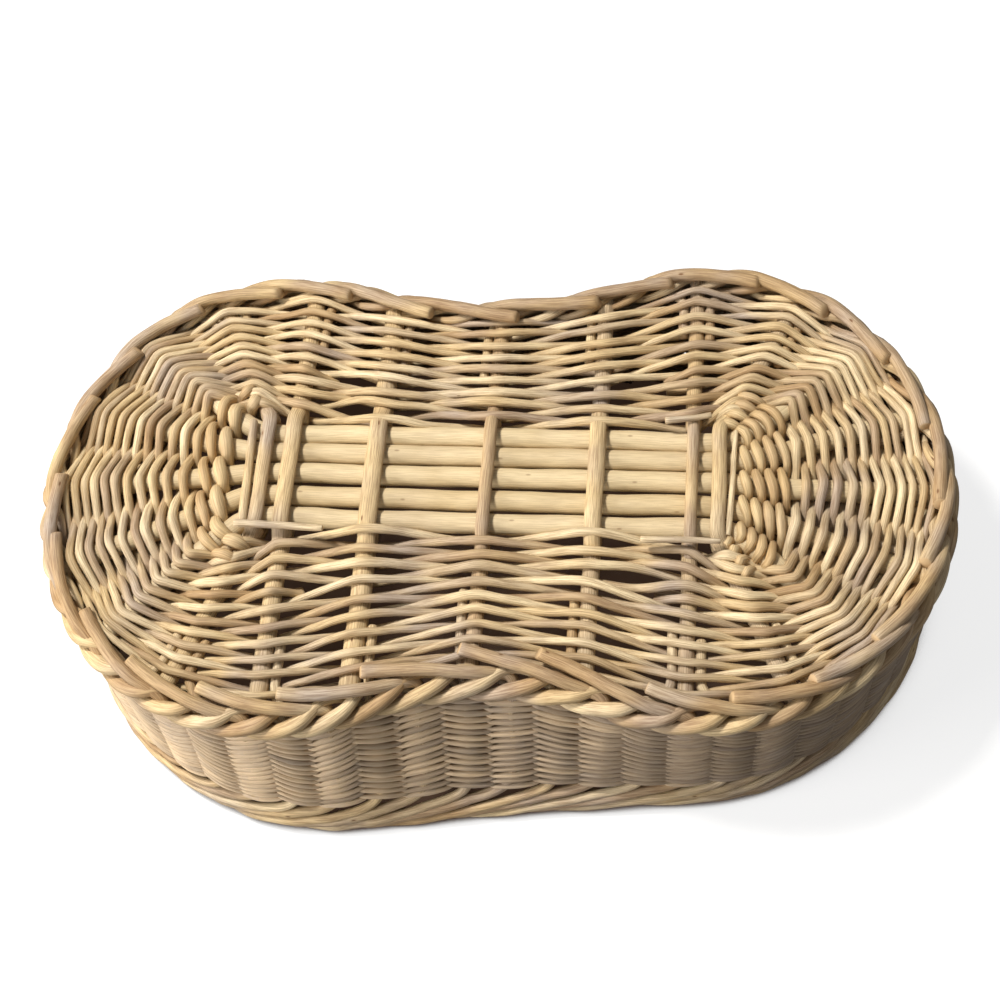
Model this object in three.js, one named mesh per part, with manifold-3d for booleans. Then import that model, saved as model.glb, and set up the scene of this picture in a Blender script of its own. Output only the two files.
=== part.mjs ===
// A shallow peanut-shaped basket of peeled willow, standing mouth down on its rim, base on top.
// Millimetres, +Z up. The rim rests on z = 0 and the length of the basket runs along X.
// A rod's stations run round the basket anticlockwise as seen from above; "inset" is measured
// inwards from the outline, and "far" and "near" are the sides towards +Y and -Y.
import * as THREE from 'three';
import { mergeVertices } from 'three/addons/utils/BufferGeometryUtils.js';
import Module from 'manifold-3d';

const wasm = await Module();
wasm.setup();

// Whole basket
const HEIGHT = 90;
const CLEARANCE = 0.35;

// Outline of the base: a round lobe at each end and a hollow waist arc on each side
const LOBE_SPACING = 183.4;
const LEFT_LOBE_RADIUS = 109.1;
const RIGHT_LOBE_RADIUS = 107.3;
const LOBE_OFFSET_Y = 6.6;
const FAR_WAIST_RADIUS = 187;
const NEAR_WAIST_RADIUS = 122;

// Outline of the mouth: the lobes spread and draw together, and the waist is nearly straight
const LEFT_FLARE = 16;
const RIGHT_FLARE = 5.6;
const LEFT_MOUTH_SHIFT_X = 17.2;
const LEFT_MOUTH_SHIFT_Y = -6.6;
const RIGHT_MOUTH_SHIFT_X = -9.2;
const RIGHT_MOUTH_SHIFT_Y = -5;
const MOUTH_WAIST_RADIUS = 1500;

// Slath: long sticks threaded through split cross sticks
const LONG_STICK_COUNT = 5;
const LONG_STICK_DIAMETER = 7.6;
const LONG_STICK_GAP = 2.65;
const SLATH_CENTRE_Y = 5.2;
const CROSS_STICK_X = [-89, -51, -1, 46, 87];
const CROSS_STICK_DIAMETER = 9.2;
const PRONG_THICKNESS = 4.3;
const PRONG_TAPER = 6;
const BOW_STICK_GAP = 2.2;
const STICK_END_INSET = 15.5;
const FAN_LEAD = 2;

// Bindings that lash the long sticks where they begin to fan out
const BINDINGS_PER_END = 2;
const BINDING_WIDTH = 2.6;
const BINDING_THICKNESS = 2.2;
const BINDING_GAP = 2.5;

// Woven bands of the base
const BASE_BAND_COUNT = 6;
const BASE_BAND_THICKNESS = 2.5;
const BASE_BAND_GAP = 0.6;
const FAN_INNER_RADIUS = 48;

// Side stakes: foot border, leg and rim border are one rod
const STAKE_PAIRS = 14;
const STAKE_DIAMETER = 6;
const FOOT_ROD_GAP = 1.3;
const FOOT_SETBACK = 2.5;
const STAKE_BEND = 6;
const BORDER_REACH = 2;
const RIM_ROD_GAP = 3.6;
const RIM_GAP_HEIGHT = 20;

// Woven bands of the wall
const WALL_BAND_COUNT = 6;
const WALL_BAND_THICKNESS = 3;
const WALL_BAND_GAP = 0.5;
const WALE_THICKNESS = 3.2;
const WALE_HEIGHT = 7;
const WEAVE_SLACK = 0.6;
const BEND_MARGIN = 1.8;

// Sizes that follow from the ones above
const stakeCount = 2 * STAKE_PAIRS;
const stakeRadius = STAKE_DIAMETER / 2;
const longRadius = LONG_STICK_DIAMETER / 2;
const crossRadius = CROSS_STICK_DIAMETER / 2;
const footPitch = STAKE_DIAMETER + FOOT_ROD_GAP;
const rimPitch = STAKE_DIAMETER + RIM_ROD_GAP;
const footInset = FOOT_SETBACK + stakeRadius;
const footBorderWidth = footInset + BORDER_REACH * footPitch + stakeRadius;
const wallInset = WALL_BAND_THICKNESS + CLEARANCE + stakeRadius;
const basePlaneZ = HEIGHT - STAKE_DIAMETER - CLEARANCE - crossRadius;
const waleTop = HEIGHT - stakeRadius - STAKE_BEND - CLEARANCE;
const wallTop = waleTop - WALE_HEIGHT - WALL_BAND_GAP;
const wallBottom = RIM_GAP_HEIGHT + stakeRadius;
const stickPitch = LONG_STICK_DIAMETER + LONG_STICK_GAP;
const slathHalf = (LONG_STICK_COUNT - 1) / 2 * stickPitch + longRadius;
const slotHalf = slathHalf + CLEARANCE;
const prongHeight = longRadius + CLEARANCE + PRONG_THICKNESS;
const bandStart = slotHalf + PRONG_TAPER;

// Peeled willow in the tones that the basket shows
const PALE_WILLOW = '#d9bf8c';
const STRAW_WILLOW = '#cfae76';
const TAN_WILLOW = '#b98f57';
const SHADE_WILLOW = '#c2a273';

function willow(colour, roughness) {
  return new THREE.MeshStandardMaterial({ color: colour, roughness, metalness: 0 });
}

const basket = new THREE.Group();

function addPiece(name, geometry, material) {
  const piece = new THREE.Mesh(geometry, material);
  piece.name = name;
  basket.add(piece);
}

// An outline is two lobe circles with a waist arc tangent to both on each side. Each half,
// far then near, is three arcs from one end of the basket to the other.
function lobedOutline(left, right, farWaistRadius, nearWaistRadius) {
  const span = right.centre.clone().sub(left.centre);
  const spacing = span.length();
  const along = span.clone().normalize();
  const across = new THREE.Vector2(-along.y, along.x);

  function waistArc(radius, side) {
    const toLeft = left.radius + radius;
    const toRight = right.radius + radius;
    const reach = (spacing ** 2 + toLeft ** 2 - toRight ** 2) / (2 * spacing);
    const rise = Math.sqrt(toLeft ** 2 - reach ** 2);
    const centre = left.centre.clone().addScaledVector(along, reach).addScaledVector(across, side * rise);
    return { centre, radius };
  }

  function angleFrom(centre, target) {
    return Math.atan2(target.y - centre.y, target.x - centre.x);
  }

  function halfOutline(radius, side) {
    const waist = waistArc(radius, side);
    const rightTangent = angleFrom(right.centre, waist.centre);
    const leftTangent = angleFrom(left.centre, waist.centre);
    const waistFromRight = angleFrom(waist.centre, right.centre);
    const waistFromLeft = angleFrom(waist.centre, left.centre);
    const arcs = [
      { ...right, from: 0, to: rightTangent, bulge: 1 },
      { ...waist, from: waistFromRight, to: waistFromLeft, bulge: -1 },
      { ...left, from: leftTangent, to: side * Math.PI, bulge: 1 },
    ];
    for (const arc of arcs) {
      arc.length = arc.radius * Math.abs(arc.to - arc.from);
    }
    const length = arcs.reduce((sum, arc) => sum + arc.length, 0);
    return { arcs, length };
  }

  const far = halfOutline(farWaistRadius, 1);
  const near = halfOutline(nearWaistRadius, -1);

  // Fraction 0 is the right end, 0.5 the left end, going round by the far side
  function at(fraction, inset) {
    const turn = fraction - Math.floor(fraction);
    const half = turn < 0.5 ? far : near;
    let distance = (turn < 0.5 ? turn * 2 : 2 - turn * 2) * half.length;
    for (const arc of half.arcs) {
      if (distance <= arc.length || arc === half.arcs[2]) {
        const angle = arc.from + (arc.to - arc.from) * distance / arc.length;
        const reach = arc.radius - arc.bulge * inset;
        return new THREE.Vector2(arc.centre.x + reach * Math.cos(angle), arc.centre.y + reach * Math.sin(angle));
      }
      distance -= arc.length;
    }
  }

  // The y of the inset outline where a line of constant x crosses its far (1) or near (-1) side
  function crossing(x, inset, side) {
    let low = side > 0 ? 0 : 1;
    let high = 0.5;
    for (let step = 0; step < 40; step += 1) {
      const middle = (low + high) / 2;
      if (at(middle, inset).x > x) {
        low = middle;
      } else {
        high = middle;
      }
    }
    return at(low, inset).y;
  }

  return { at, crossing, perimeter: far.length + near.length };
}

const leftLobe = { centre: new THREE.Vector2(-LOBE_SPACING / 2, -LOBE_OFFSET_Y / 2), radius: LEFT_LOBE_RADIUS };
const rightLobe = { centre: new THREE.Vector2(LOBE_SPACING / 2, LOBE_OFFSET_Y / 2), radius: RIGHT_LOBE_RADIUS };
const leftMouth = {
  centre: leftLobe.centre.clone().add(new THREE.Vector2(LEFT_MOUTH_SHIFT_X, LEFT_MOUTH_SHIFT_Y)),
  radius: LEFT_LOBE_RADIUS + LEFT_FLARE,
};
const rightMouth = {
  centre: rightLobe.centre.clone().add(new THREE.Vector2(RIGHT_MOUTH_SHIFT_X, RIGHT_MOUTH_SHIFT_Y)),
  radius: RIGHT_LOBE_RADIUS + RIGHT_FLARE,
};
const baseOutline = lobedOutline(leftLobe, rightLobe, FAR_WAIST_RADIUS, NEAR_WAIST_RADIUS);
const mouthOutline = lobedOutline(leftMouth, rightMouth, MOUTH_WAIST_RADIUS, MOUTH_WAIST_RADIUS);

// The wall runs straight from the base outline at the top to the mouth outline on the floor
function wallPoint(fraction, inset, z) {
  const top = baseOutline.at(fraction, inset);
  const bottom = mouthOutline.at(fraction, inset);
  const point = bottom.lerp(top, z / HEIGHT);
  return new THREE.Vector3(point.x, point.y, z);
}

// A path through given points, whose section keeps one flat side square to a guide direction
class RodPath extends THREE.Curve {
  constructor(points, guides) {
    super();
    this.points = points;
    this.guides = guides;
  }

  getSpacedPoints() {
    return this.points;
  }

  computeFrenetFrames() {
    const last = this.points.length - 1;
    const tangents = this.points.map((point, index) => {
      const before = this.points[Math.max(index - 1, 0)];
      const after = this.points[Math.min(index + 1, last)];
      const incoming = point.clone().sub(before).normalize();
      const outgoing = after.clone().sub(point).normalize();
      return incoming.add(outgoing).normalize();
    });
    const binormals = tangents.map((tangent, index) => {
      const guide = this.guides[index];
      return guide.clone().addScaledVector(tangent, -guide.dot(tangent)).normalize();
    });
    const normals = tangents.map((tangent, index) => binormals[index].clone().cross(tangent));
    return { tangents, normals, binormals };
  }
}

// An eight-sided section that is its diameter wide across the flats
const ROD_SIDES = 8;
function rodSection(radius) {
  const corner = radius / Math.cos(Math.PI / ROD_SIDES);
  const corners = [];
  for (let side = 0; side < ROD_SIDES; side += 1) {
    const angle = (side + 0.5) * 2 * Math.PI / ROD_SIDES;
    corners.push(new THREE.Vector2(corner * Math.cos(angle), corner * Math.sin(angle)));
  }
  return new THREE.Shape(corners);
}

function rodGeometry(points, guides, radius) {
  const path = new RodPath(points, guides);
  return new THREE.ExtrudeGeometry(rodSection(radius), { steps: points.length - 1, extrudePath: path });
}

// A closed band: every station gives its four corners in order round the section
function bandGeometry(stations) {
  const positions = stations.flatMap((corners) => corners.flatMap((corner) => corner.toArray()));
  const indices = [];
  for (let station = 0; station < stations.length; station += 1) {
    const next = (station + 1) % stations.length;
    for (let corner = 0; corner < 4; corner += 1) {
      const beside = (corner + 1) % 4;
      const a = station * 4 + corner;
      const b = station * 4 + beside;
      const c = next * 4 + beside;
      const d = next * 4 + corner;
      indices.push(a, b, c, a, c, d);
    }
  }
  const geometry = new THREE.BufferGeometry();
  geometry.setAttribute('position', new THREE.Float32BufferAttribute(positions, 3));
  geometry.setIndex(indices);
  geometry.computeVertexNormals();
  return geometry;
}

// Cuts the second closed geometry out of the first
function cut(geometry, tool) {
  const [solid, cutter] = [geometry, tool].map((source) => {
    const shell = source.clone();
    shell.deleteAttribute('normal');
    shell.deleteAttribute('uv');
    const merged = mergeVertices(shell);
    const vertProperties = new Float32Array(merged.attributes.position.array);
    const triVerts = new Uint32Array(merged.index.array);
    return new wasm.Manifold(new wasm.Mesh({ numProp: 3, vertProperties, triVerts }));
  });
  const mesh = solid.subtract(cutter).getMesh();
  const result = new THREE.BufferGeometry();
  result.setAttribute('position', new THREE.Float32BufferAttribute(mesh.vertProperties, 3));
  result.setIndex(new THREE.Uint32BufferAttribute(mesh.triVerts, 1));
  return result;
}

// Cross sticks. Seen from the side a cross stick is a bar that swells to two prongs, with a slot
// between them for the long sticks. A bow stick's arms lean outwards by so much for each mm of y.
function crossStickGeometry(x, ends, leans) {
  const swell = slotHalf;
  const shoulder = bandStart;
  const profile = new THREE.Shape([
    new THREE.Vector2(ends.near - SLATH_CENTRE_Y, -crossRadius),
    new THREE.Vector2(-shoulder, -crossRadius),
    new THREE.Vector2(-swell, -prongHeight),
    new THREE.Vector2(swell, -prongHeight),
    new THREE.Vector2(shoulder, -crossRadius),
    new THREE.Vector2(ends.far - SLATH_CENTRE_Y, -crossRadius),
    new THREE.Vector2(ends.far - SLATH_CENTRE_Y, crossRadius),
    new THREE.Vector2(shoulder, crossRadius),
    new THREE.Vector2(swell, prongHeight),
    new THREE.Vector2(-swell, prongHeight),
    new THREE.Vector2(-shoulder, crossRadius),
    new THREE.Vector2(ends.near - SLATH_CENTRE_Y, crossRadius),
  ]);
  const chamfer = crossRadius / 3;
  const bar = new THREE.ExtrudeGeometry(profile, {
    depth: CROSS_STICK_DIAMETER - 2 * chamfer,
    bevelEnabled: true,
    bevelThickness: chamfer,
    bevelSize: chamfer,
    bevelOffset: -chamfer,
    bevelSegments: 1,
  });
  bar.translate(0, 0, chamfer - crossRadius);
  const slotHeight = LONG_STICK_DIAMETER + 2 * CLEARANCE;
  const slot = new THREE.BoxGeometry(2 * slotHalf, slotHeight, 2 * CROSS_STICK_DIAMETER);
  const geometry = cut(bar, slot);
  const positions = geometry.attributes.position;
  for (let index = 0; index < positions.count; index += 1) {
    const along = positions.getX(index);
    const up = positions.getY(index);
    const across = positions.getZ(index);
    const lean = along > 0 ? leans.far : leans.near;
    const bow = lean * Math.max(0, Math.abs(along) - swell);
    positions.setXYZ(index, x + across + bow, SLATH_CENTRE_Y + along, basePlaneZ + up);
  }
  geometry.computeVertexNormals();
  return geometry;
}

// Every stick end that the base weave passes, anticlockwise from the right end. A crossing knows
// the line of its stick in plan, from the inner edge of the weave to the outer, and its half size.
const fanCount = LONG_STICK_COUNT + 2;
const fanStep = Math.PI / (fanCount + 1);
const weaveOuterInset = footBorderWidth + BASE_BAND_GAP;
const rightBowX = Math.max(...CROSS_STICK_X) + CROSS_STICK_DIAMETER + BOW_STICK_GAP;
const leftBowX = Math.min(...CROSS_STICK_X) - CROSS_STICK_DIAMETER - BOW_STICK_GAP;

// Where a ray from a lobe's centre at an angle meets the outline moved in by an inset
function lobePoint(lobe, angle, inset) {
  const reach = lobe.radius - inset;
  return new THREE.Vector2(lobe.centre.x + reach * Math.cos(angle), lobe.centre.y + reach * Math.sin(angle));
}

// Where the line from start towards end is a given distance from a centre
function reachCircle(start, end, centre, radius) {
  const direction = end.clone().sub(start).normalize();
  const offset = start.clone().sub(centre);
  const middle = offset.dot(direction);
  const run = -middle + Math.sqrt(middle ** 2 - offset.lengthSq() + radius ** 2);
  return start.clone().addScaledVector(direction, run);
}

// One lobe's fan: the bow stick's arms are its first and last rays, the long sticks those between
function lobeFan(lobe, side, bowX) {
  const fanCentre = new THREE.Vector2(lobe.centre.x, SLATH_CENTRE_Y);
  const rays = [];
  for (let ray = 0; ray < fanCount; ray += 1) {
    const turn = (ray + 1) * fanStep - Math.PI / 2;
    const angle = side > 0 ? turn : Math.PI + turn;
    const isBow = ray === 0 || ray === fanCount - 1;
    const height = side * (isBow ? Math.sign(turn) * slotHalf : (ray - (fanCount - 1) / 2) * stickPitch);
    const startX = bowX + (isBow ? 0 : side * (crossRadius + FAN_LEAD));
    const start = new THREE.Vector2(startX, SLATH_CENTRE_Y + height);
    const end = lobePoint(lobe, angle, STICK_END_INSET);
    const radius = isBow ? crossRadius : longRadius;
    rays.push({
      start,
      end,
      radius,
      inner: reachCircle(start, end, fanCentre, FAN_INNER_RADIUS),
      outer: reachCircle(start, end, lobe.centre, lobe.radius - weaveOuterInset),
    });
  }
  return rays;
}

const rightFan = lobeFan(rightLobe, 1, rightBowX);
const leftFan = lobeFan(leftLobe, -1, leftBowX);

function sideCrossings(side) {
  return CROSS_STICK_X.map((x) => ({
    radius: crossRadius,
    inner: new THREE.Vector2(x, SLATH_CENTRE_Y + side * bandStart),
    outer: new THREE.Vector2(x, baseOutline.crossing(x, weaveOuterInset, side)),
  }));
}

const crossings = [...rightFan, ...sideCrossings(1).reverse(), ...leftFan, ...sideCrossings(-1)];

// Five straight cross sticks and the two bow sticks beyond them
CROSS_STICK_X.forEach((x, index) => {
  const ends = {
    near: baseOutline.crossing(x, STICK_END_INSET, -1),
    far: baseOutline.crossing(x, STICK_END_INSET, 1),
  };
  const geometry = crossStickGeometry(x, ends, { near: 0, far: 0 });
  addPiece(`cross_stick_${index + 1}`, geometry, willow(STRAW_WILLOW, 0.6));
});

function bowStick(name, x, fan) {
  const arms = [fan[0], fan[fanCount - 1]].sort((one, other) => one.end.y - other.end.y);
  const [near, far] = arms;
  const leans = {
    near: (near.end.x - x) / (near.start.y - near.end.y),
    far: (far.end.x - x) / (far.end.y - far.start.y),
  };
  const ends = { near: near.end.y, far: far.end.y };
  addPiece(name, crossStickGeometry(x, ends, leans), willow(STRAW_WILLOW, 0.6));
}

bowStick('bow_stick_right', rightBowX, rightFan);
bowStick('bow_stick_left', leftBowX, leftFan);

// Long sticks: straight through the slath, fanned out at both ends
const UP = new THREE.Vector3(0, 0, 1);
function onBasePlane(point) {
  return new THREE.Vector3(point.x, point.y, basePlaneZ);
}

for (let stick = 0; stick < LONG_STICK_COUNT; stick += 1) {
  const rightRay = rightFan[stick + 1];
  const leftRay = leftFan[fanCount - 2 - stick];
  const points = [leftRay.end, leftRay.start, rightRay.start, rightRay.end].map(onBasePlane);
  const guides = points.map(() => UP);
  addPiece(`long_stick_${stick + 1}`, rodGeometry(points, guides, longRadius), willow(PALE_WILLOW, 0.5));
}

// Slath bindings: flat collars round all the long sticks where they begin to fan out
function bindingGeometry(fan, side, index) {
  const nearX = fan[1].start.x + side * (BINDING_GAP + index * (BINDING_WIDTH + BINDING_GAP));
  const wideX = nearX + side * BINDING_WIDTH;
  const outerRays = [fan[1], fan[fanCount - 2]].sort((one, other) => one.end.y - other.end.y);
  const [nearEdge, farEdge] = outerRays.map((ray, order) => {
    const slope = (ray.end.y - ray.start.y) / (ray.end.x - ray.start.x);
    const halfWidth = longRadius * Math.hypot(1, slope) + CLEARANCE;
    return ray.start.y + slope * (wideX - ray.start.x) + (order === 0 ? -halfWidth : halfWidth);
  });
  const halfHeight = longRadius + CLEARANCE;
  const chamfer = BINDING_THICKNESS / 2;
  const loop = [
    [farEdge, -halfHeight, 1, -0.5],
    [farEdge, halfHeight, 1, 0.5],
    [farEdge, halfHeight, 0.5, 1],
    [nearEdge, halfHeight, -0.5, 1],
    [nearEdge, halfHeight, -1, 0.5],
    [nearEdge, -halfHeight, -1, -0.5],
    [nearEdge, -halfHeight, -0.5, -1],
    [farEdge, -halfHeight, 0.5, -1],
  ];
  const xLow = Math.min(nearX, wideX);
  const xHigh = Math.max(nearX, wideX);
  const stations = loop.map(([y, z, outY, outZ]) => {
    const inner = [y + outY * chamfer / 5, basePlaneZ + z + outZ * chamfer / 5];
    const outer = [y + outY * BINDING_THICKNESS, basePlaneZ + z + outZ * BINDING_THICKNESS];
    return [
      new THREE.Vector3(xLow, ...inner),
      new THREE.Vector3(xHigh, ...inner),
      new THREE.Vector3(xHigh, ...outer),
      new THREE.Vector3(xLow, ...outer),
    ];
  });
  return bandGeometry(stations);
}

for (let index = 0; index < BINDINGS_PER_END; index += 1) {
  addPiece(`slath_binding_right_${index + 1}`, bindingGeometry(rightFan, 1, index), willow(TAN_WILLOW, 0.6));
  addPiece(`slath_binding_left_${index + 1}`, bindingGeometry(leftFan, -1, index), willow(TAN_WILLOW, 0.6));
}

// Base bands: rings that pass over and under the sticks in turn, each ring against the last
function baseBandGeometry(band) {
  const count = crossings.length;

  function edge(depth) {
    return crossings.map((crossing) => crossing.inner.clone().lerp(crossing.outer, depth(crossing)));
  }

  const bandStep = (crossing) => crossing.inner.distanceTo(crossing.outer) / BASE_BAND_COUNT;
  const gapShare = (crossing) => BASE_BAND_GAP / 2 / bandStep(crossing);
  const innerEdge = edge((crossing) => (band + gapShare(crossing)) / BASE_BAND_COUNT);
  const outerEdge = edge((crossing) => (band + 1 - gapShare(crossing)) / BASE_BAND_COUNT);

  function towards(points, index, step, distance) {
    const point = points[index];
    const neighbour = points[(index + step + count) % count];
    return point.clone().lerp(neighbour, distance / point.distanceTo(neighbour));
  }

  const stations = [];
  crossings.forEach((crossing, index) => {
    const rise = crossing.radius + CLEARANCE + BASE_BAND_THICKNESS / 2;
    const level = basePlaneZ + ((index + band) % 2 === 0 ? rise : -rise);
    const flat = crossing.radius + BEND_MARGIN;
    for (const step of [-1, 1]) {
      const inner = towards(innerEdge, index, step, flat);
      const outer = towards(outerEdge, index, step, flat);
      const low = level - BASE_BAND_THICKNESS / 2;
      const high = level + BASE_BAND_THICKNESS / 2;
      stations.push([
        new THREE.Vector3(inner.x, inner.y, low),
        new THREE.Vector3(inner.x, inner.y, high),
        new THREE.Vector3(outer.x, outer.y, high),
        new THREE.Vector3(outer.x, outer.y, low),
      ]);
    }
  });
  return bandGeometry(stations);
}

for (let band = 0; band < BASE_BAND_COUNT; band += 1) {
  addPiece(`base_band_${band + 1}`, baseBandGeometry(band), willow(STRAW_WILLOW, 0.65));
}

// Side stakes. From its cut end on the base a stake lies along the edge for two intervals, sinking
// outwards under its neighbours' ends, turns down over the edge, runs down the wall, and turns into
// the rim border, where it drops to the floor and then moves inwards behind the next stake.
const HALF_INTERVAL = 0.5 / stakeCount;
function stakeGeometry(stake) {
  const leg = (stake + 0.5) / stakeCount;
  const footEnd = leg - STAKE_BEND / baseOutline.perimeter;
  const points = [];
  const guides = [];

  function add(point, guide) {
    points.push(point);
    guides.push(guide);
  }

  const footZ = HEIGHT - stakeRadius;
  for (let half = 2 * BORDER_REACH; half >= 0; half -= 1) {
    const inset = footInset + footPitch * half / 2;
    const plan = baseOutline.at(footEnd - half * HALF_INTERVAL, inset);
    add(new THREE.Vector3(plan.x, plan.y, footZ), UP);
  }

  const edge = wallPoint(leg, footInset, footZ);
  const out = edge.clone().sub(wallPoint(leg, footInset + 1, footZ)).normalize();
  const halfBend = leg - STAKE_BEND * (1 - Math.SQRT1_2) / baseOutline.perimeter;
  add(wallPoint(halfBend, footInset, footZ - STAKE_BEND * (1 - Math.SQRT1_2)), out.clone().add(UP));
  add(wallPoint(leg, footInset, footZ - STAKE_BEND), out);
  add(wallPoint(leg, wallInset, wallTop), out);
  add(wallPoint(leg, wallInset, RIM_GAP_HEIGHT), out);

  for (let half = 1; half <= 2 * BORDER_REACH; half += 1) {
    const drop = Math.min(half / 2, 1);
    const inward = Math.max(half / 2 - 1, 0);
    const inset = THREE.MathUtils.lerp(wallInset, stakeRadius, drop) + inward * rimPitch;
    const z = THREE.MathUtils.lerp(RIM_GAP_HEIGHT, stakeRadius, drop);
    add(wallPoint(leg - half * HALF_INTERVAL, inset, z), half >= 2 ? UP : out);
  }
  return rodGeometry(points, guides, stakeRadius);
}

for (let stake = 0; stake < stakeCount; stake += 1) {
  const name = `stake_${String(stake + 1).padStart(2, '0')}`;
  addPiece(name, stakeGeometry(stake), willow(STRAW_WILLOW, 0.6));
}

// Wall bands: rings that pass outside and inside the stakes in turn
function wallBandGeometry(bottom, top, thickness, centreInset, parity) {
  const rise = stakeRadius + WEAVE_SLACK + thickness / 2;
  const flat = (stakeRadius + BEND_MARGIN) / baseOutline.perimeter;
  const stations = [];
  for (let stake = 0; stake < stakeCount; stake += 1) {
    const leg = (stake + 0.5) / stakeCount;
    const middle = centreInset + ((stake + parity) % 2 === 0 ? -rise : rise);
    for (const fraction of [leg - flat, leg + flat]) {
      stations.push([
        wallPoint(fraction, middle + thickness / 2, bottom),
        wallPoint(fraction, middle + thickness / 2, top),
        wallPoint(fraction, middle - thickness / 2, top),
        wallPoint(fraction, middle - thickness / 2, bottom),
      ]);
    }
  }
  return bandGeometry(stations);
}

const wallBandStep = (wallTop - wallBottom) / WALL_BAND_COUNT;
for (let band = 0; band < WALL_BAND_COUNT; band += 1) {
  const top = wallTop - band * wallBandStep;
  const bottom = top - wallBandStep + WALL_BAND_GAP;
  const geometry = wallBandGeometry(bottom, top, WALL_BAND_THICKNESS, wallInset, band);
  addPiece(`wall_band_${band + 1}`, geometry, willow(SHADE_WILLOW, 0.7));
}

const waleInset = (footInset + wallInset) / 2;
const wale = wallBandGeometry(waleTop - WALE_HEIGHT, waleTop, WALE_THICKNESS, waleInset, 1);
addPiece('foot_wale', wale, willow(PALE_WILLOW, 0.6));

// The origin is under the middle of the basket, on the floor
const box = new THREE.Box3().setFromObject(basket);
const middle = box.getCenter(new THREE.Vector3());
basket.position.set(-middle.x, -middle.y, -box.min.z);

export default basket;
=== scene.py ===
# %% [markdown]
# # A peanut-shaped willow basket, turned mouth down
# A basket is nothing but rods: some lie still and are passed by others, and some travel over and
# under them. This lesson builds every rod as a surface worked out with numpy, around solids that
# hold each piece's real place. The solids come first, and nothing moves them.

# %% Load the fixed solids
import math

import bpy
import numpy as np
from mathutils import Matrix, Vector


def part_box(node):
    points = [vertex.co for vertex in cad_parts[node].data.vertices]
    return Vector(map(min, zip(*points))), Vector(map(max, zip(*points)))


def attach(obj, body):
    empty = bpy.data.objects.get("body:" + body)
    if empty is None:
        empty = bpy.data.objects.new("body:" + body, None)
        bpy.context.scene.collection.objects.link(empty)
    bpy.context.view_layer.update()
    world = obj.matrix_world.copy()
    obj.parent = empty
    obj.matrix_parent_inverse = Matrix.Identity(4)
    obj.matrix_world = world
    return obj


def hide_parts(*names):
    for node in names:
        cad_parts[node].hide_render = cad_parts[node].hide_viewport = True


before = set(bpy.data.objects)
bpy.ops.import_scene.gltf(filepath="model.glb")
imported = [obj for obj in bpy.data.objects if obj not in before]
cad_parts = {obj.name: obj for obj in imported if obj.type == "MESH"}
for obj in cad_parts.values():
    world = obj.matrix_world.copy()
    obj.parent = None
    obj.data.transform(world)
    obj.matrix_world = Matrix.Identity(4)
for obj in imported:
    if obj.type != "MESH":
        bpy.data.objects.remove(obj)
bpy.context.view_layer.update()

MM = 0.001

# %% [markdown]
# ## The outline that everything follows
# Seen from above the base is a peanut: a round lobe at each end, and a hollow arc on each side.
# It could be drawn by hand as a spline, but arcs are better here. A point on the outline is then
# found from two numbers: how far round it lies, and how far in from the edge.

# %% Outlines of the base and of the mouth
HEIGHT = 90 * MM
LOBE_SPACING = 183.4 * MM
LOBE_OFFSET_Y = 6.6 * MM
LEFT_LOBE_RADIUS = 109.1 * MM
RIGHT_LOBE_RADIUS = 107.3 * MM
FAR_WAIST_RADIUS = 187 * MM
NEAR_WAIST_RADIUS = 122 * MM
LEFT_FLARE = 16 * MM
RIGHT_FLARE = 5.6 * MM
LEFT_MOUTH_SHIFT = np.array([17.2, -6.6]) * MM
RIGHT_MOUTH_SHIFT = np.array([-9.2, -5.0]) * MM
MOUTH_WAIST_RADIUS = 1500 * MM


def heading(start, end):
    """The angle of the line from start to end, in plan."""
    return math.atan2(end[1] - start[1], end[0] - start[0])


def waist_arc(left, right, radius, side):
    """The circle of that radius that touches both lobes on one side: its centre is as far from
    each lobe's centre as the two radii together."""
    span = right["centre"] - left["centre"]
    spacing = np.hypot(*span)
    along = span / spacing
    across = np.array([-along[1], along[0]])
    to_left = left["radius"] + radius
    to_right = right["radius"] + radius
    reach = (spacing**2 + to_left**2 - to_right**2) / (2 * spacing)
    rise = math.sqrt(to_left**2 - reach**2)
    return {"centre": left["centre"] + reach * along + side * rise * across, "radius": radius}


def half_outline(left, right, radius, side):
    """Three arcs from the right end to the left end of the basket: lobe, waist, lobe."""
    waist = waist_arc(left, right, radius, side)
    arcs = [
        dict(right, start=0.0, stop=heading(right["centre"], waist["centre"]), bulge=1),
        dict(
            waist,
            start=heading(waist["centre"], right["centre"]),
            stop=heading(waist["centre"], left["centre"]),
            bulge=-1,
        ),
        dict(left, start=heading(left["centre"], waist["centre"]), stop=side * math.pi, bulge=1),
    ]
    for arc in arcs:
        arc["length"] = arc["radius"] * abs(arc["stop"] - arc["start"])
    return arcs


def lobed_outline(left, right, far_radius, near_radius):
    """Both halves of a peanut outline, the far one first."""
    return [half_outline(left, right, far_radius, 1), half_outline(left, right, near_radius, -1)]


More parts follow.
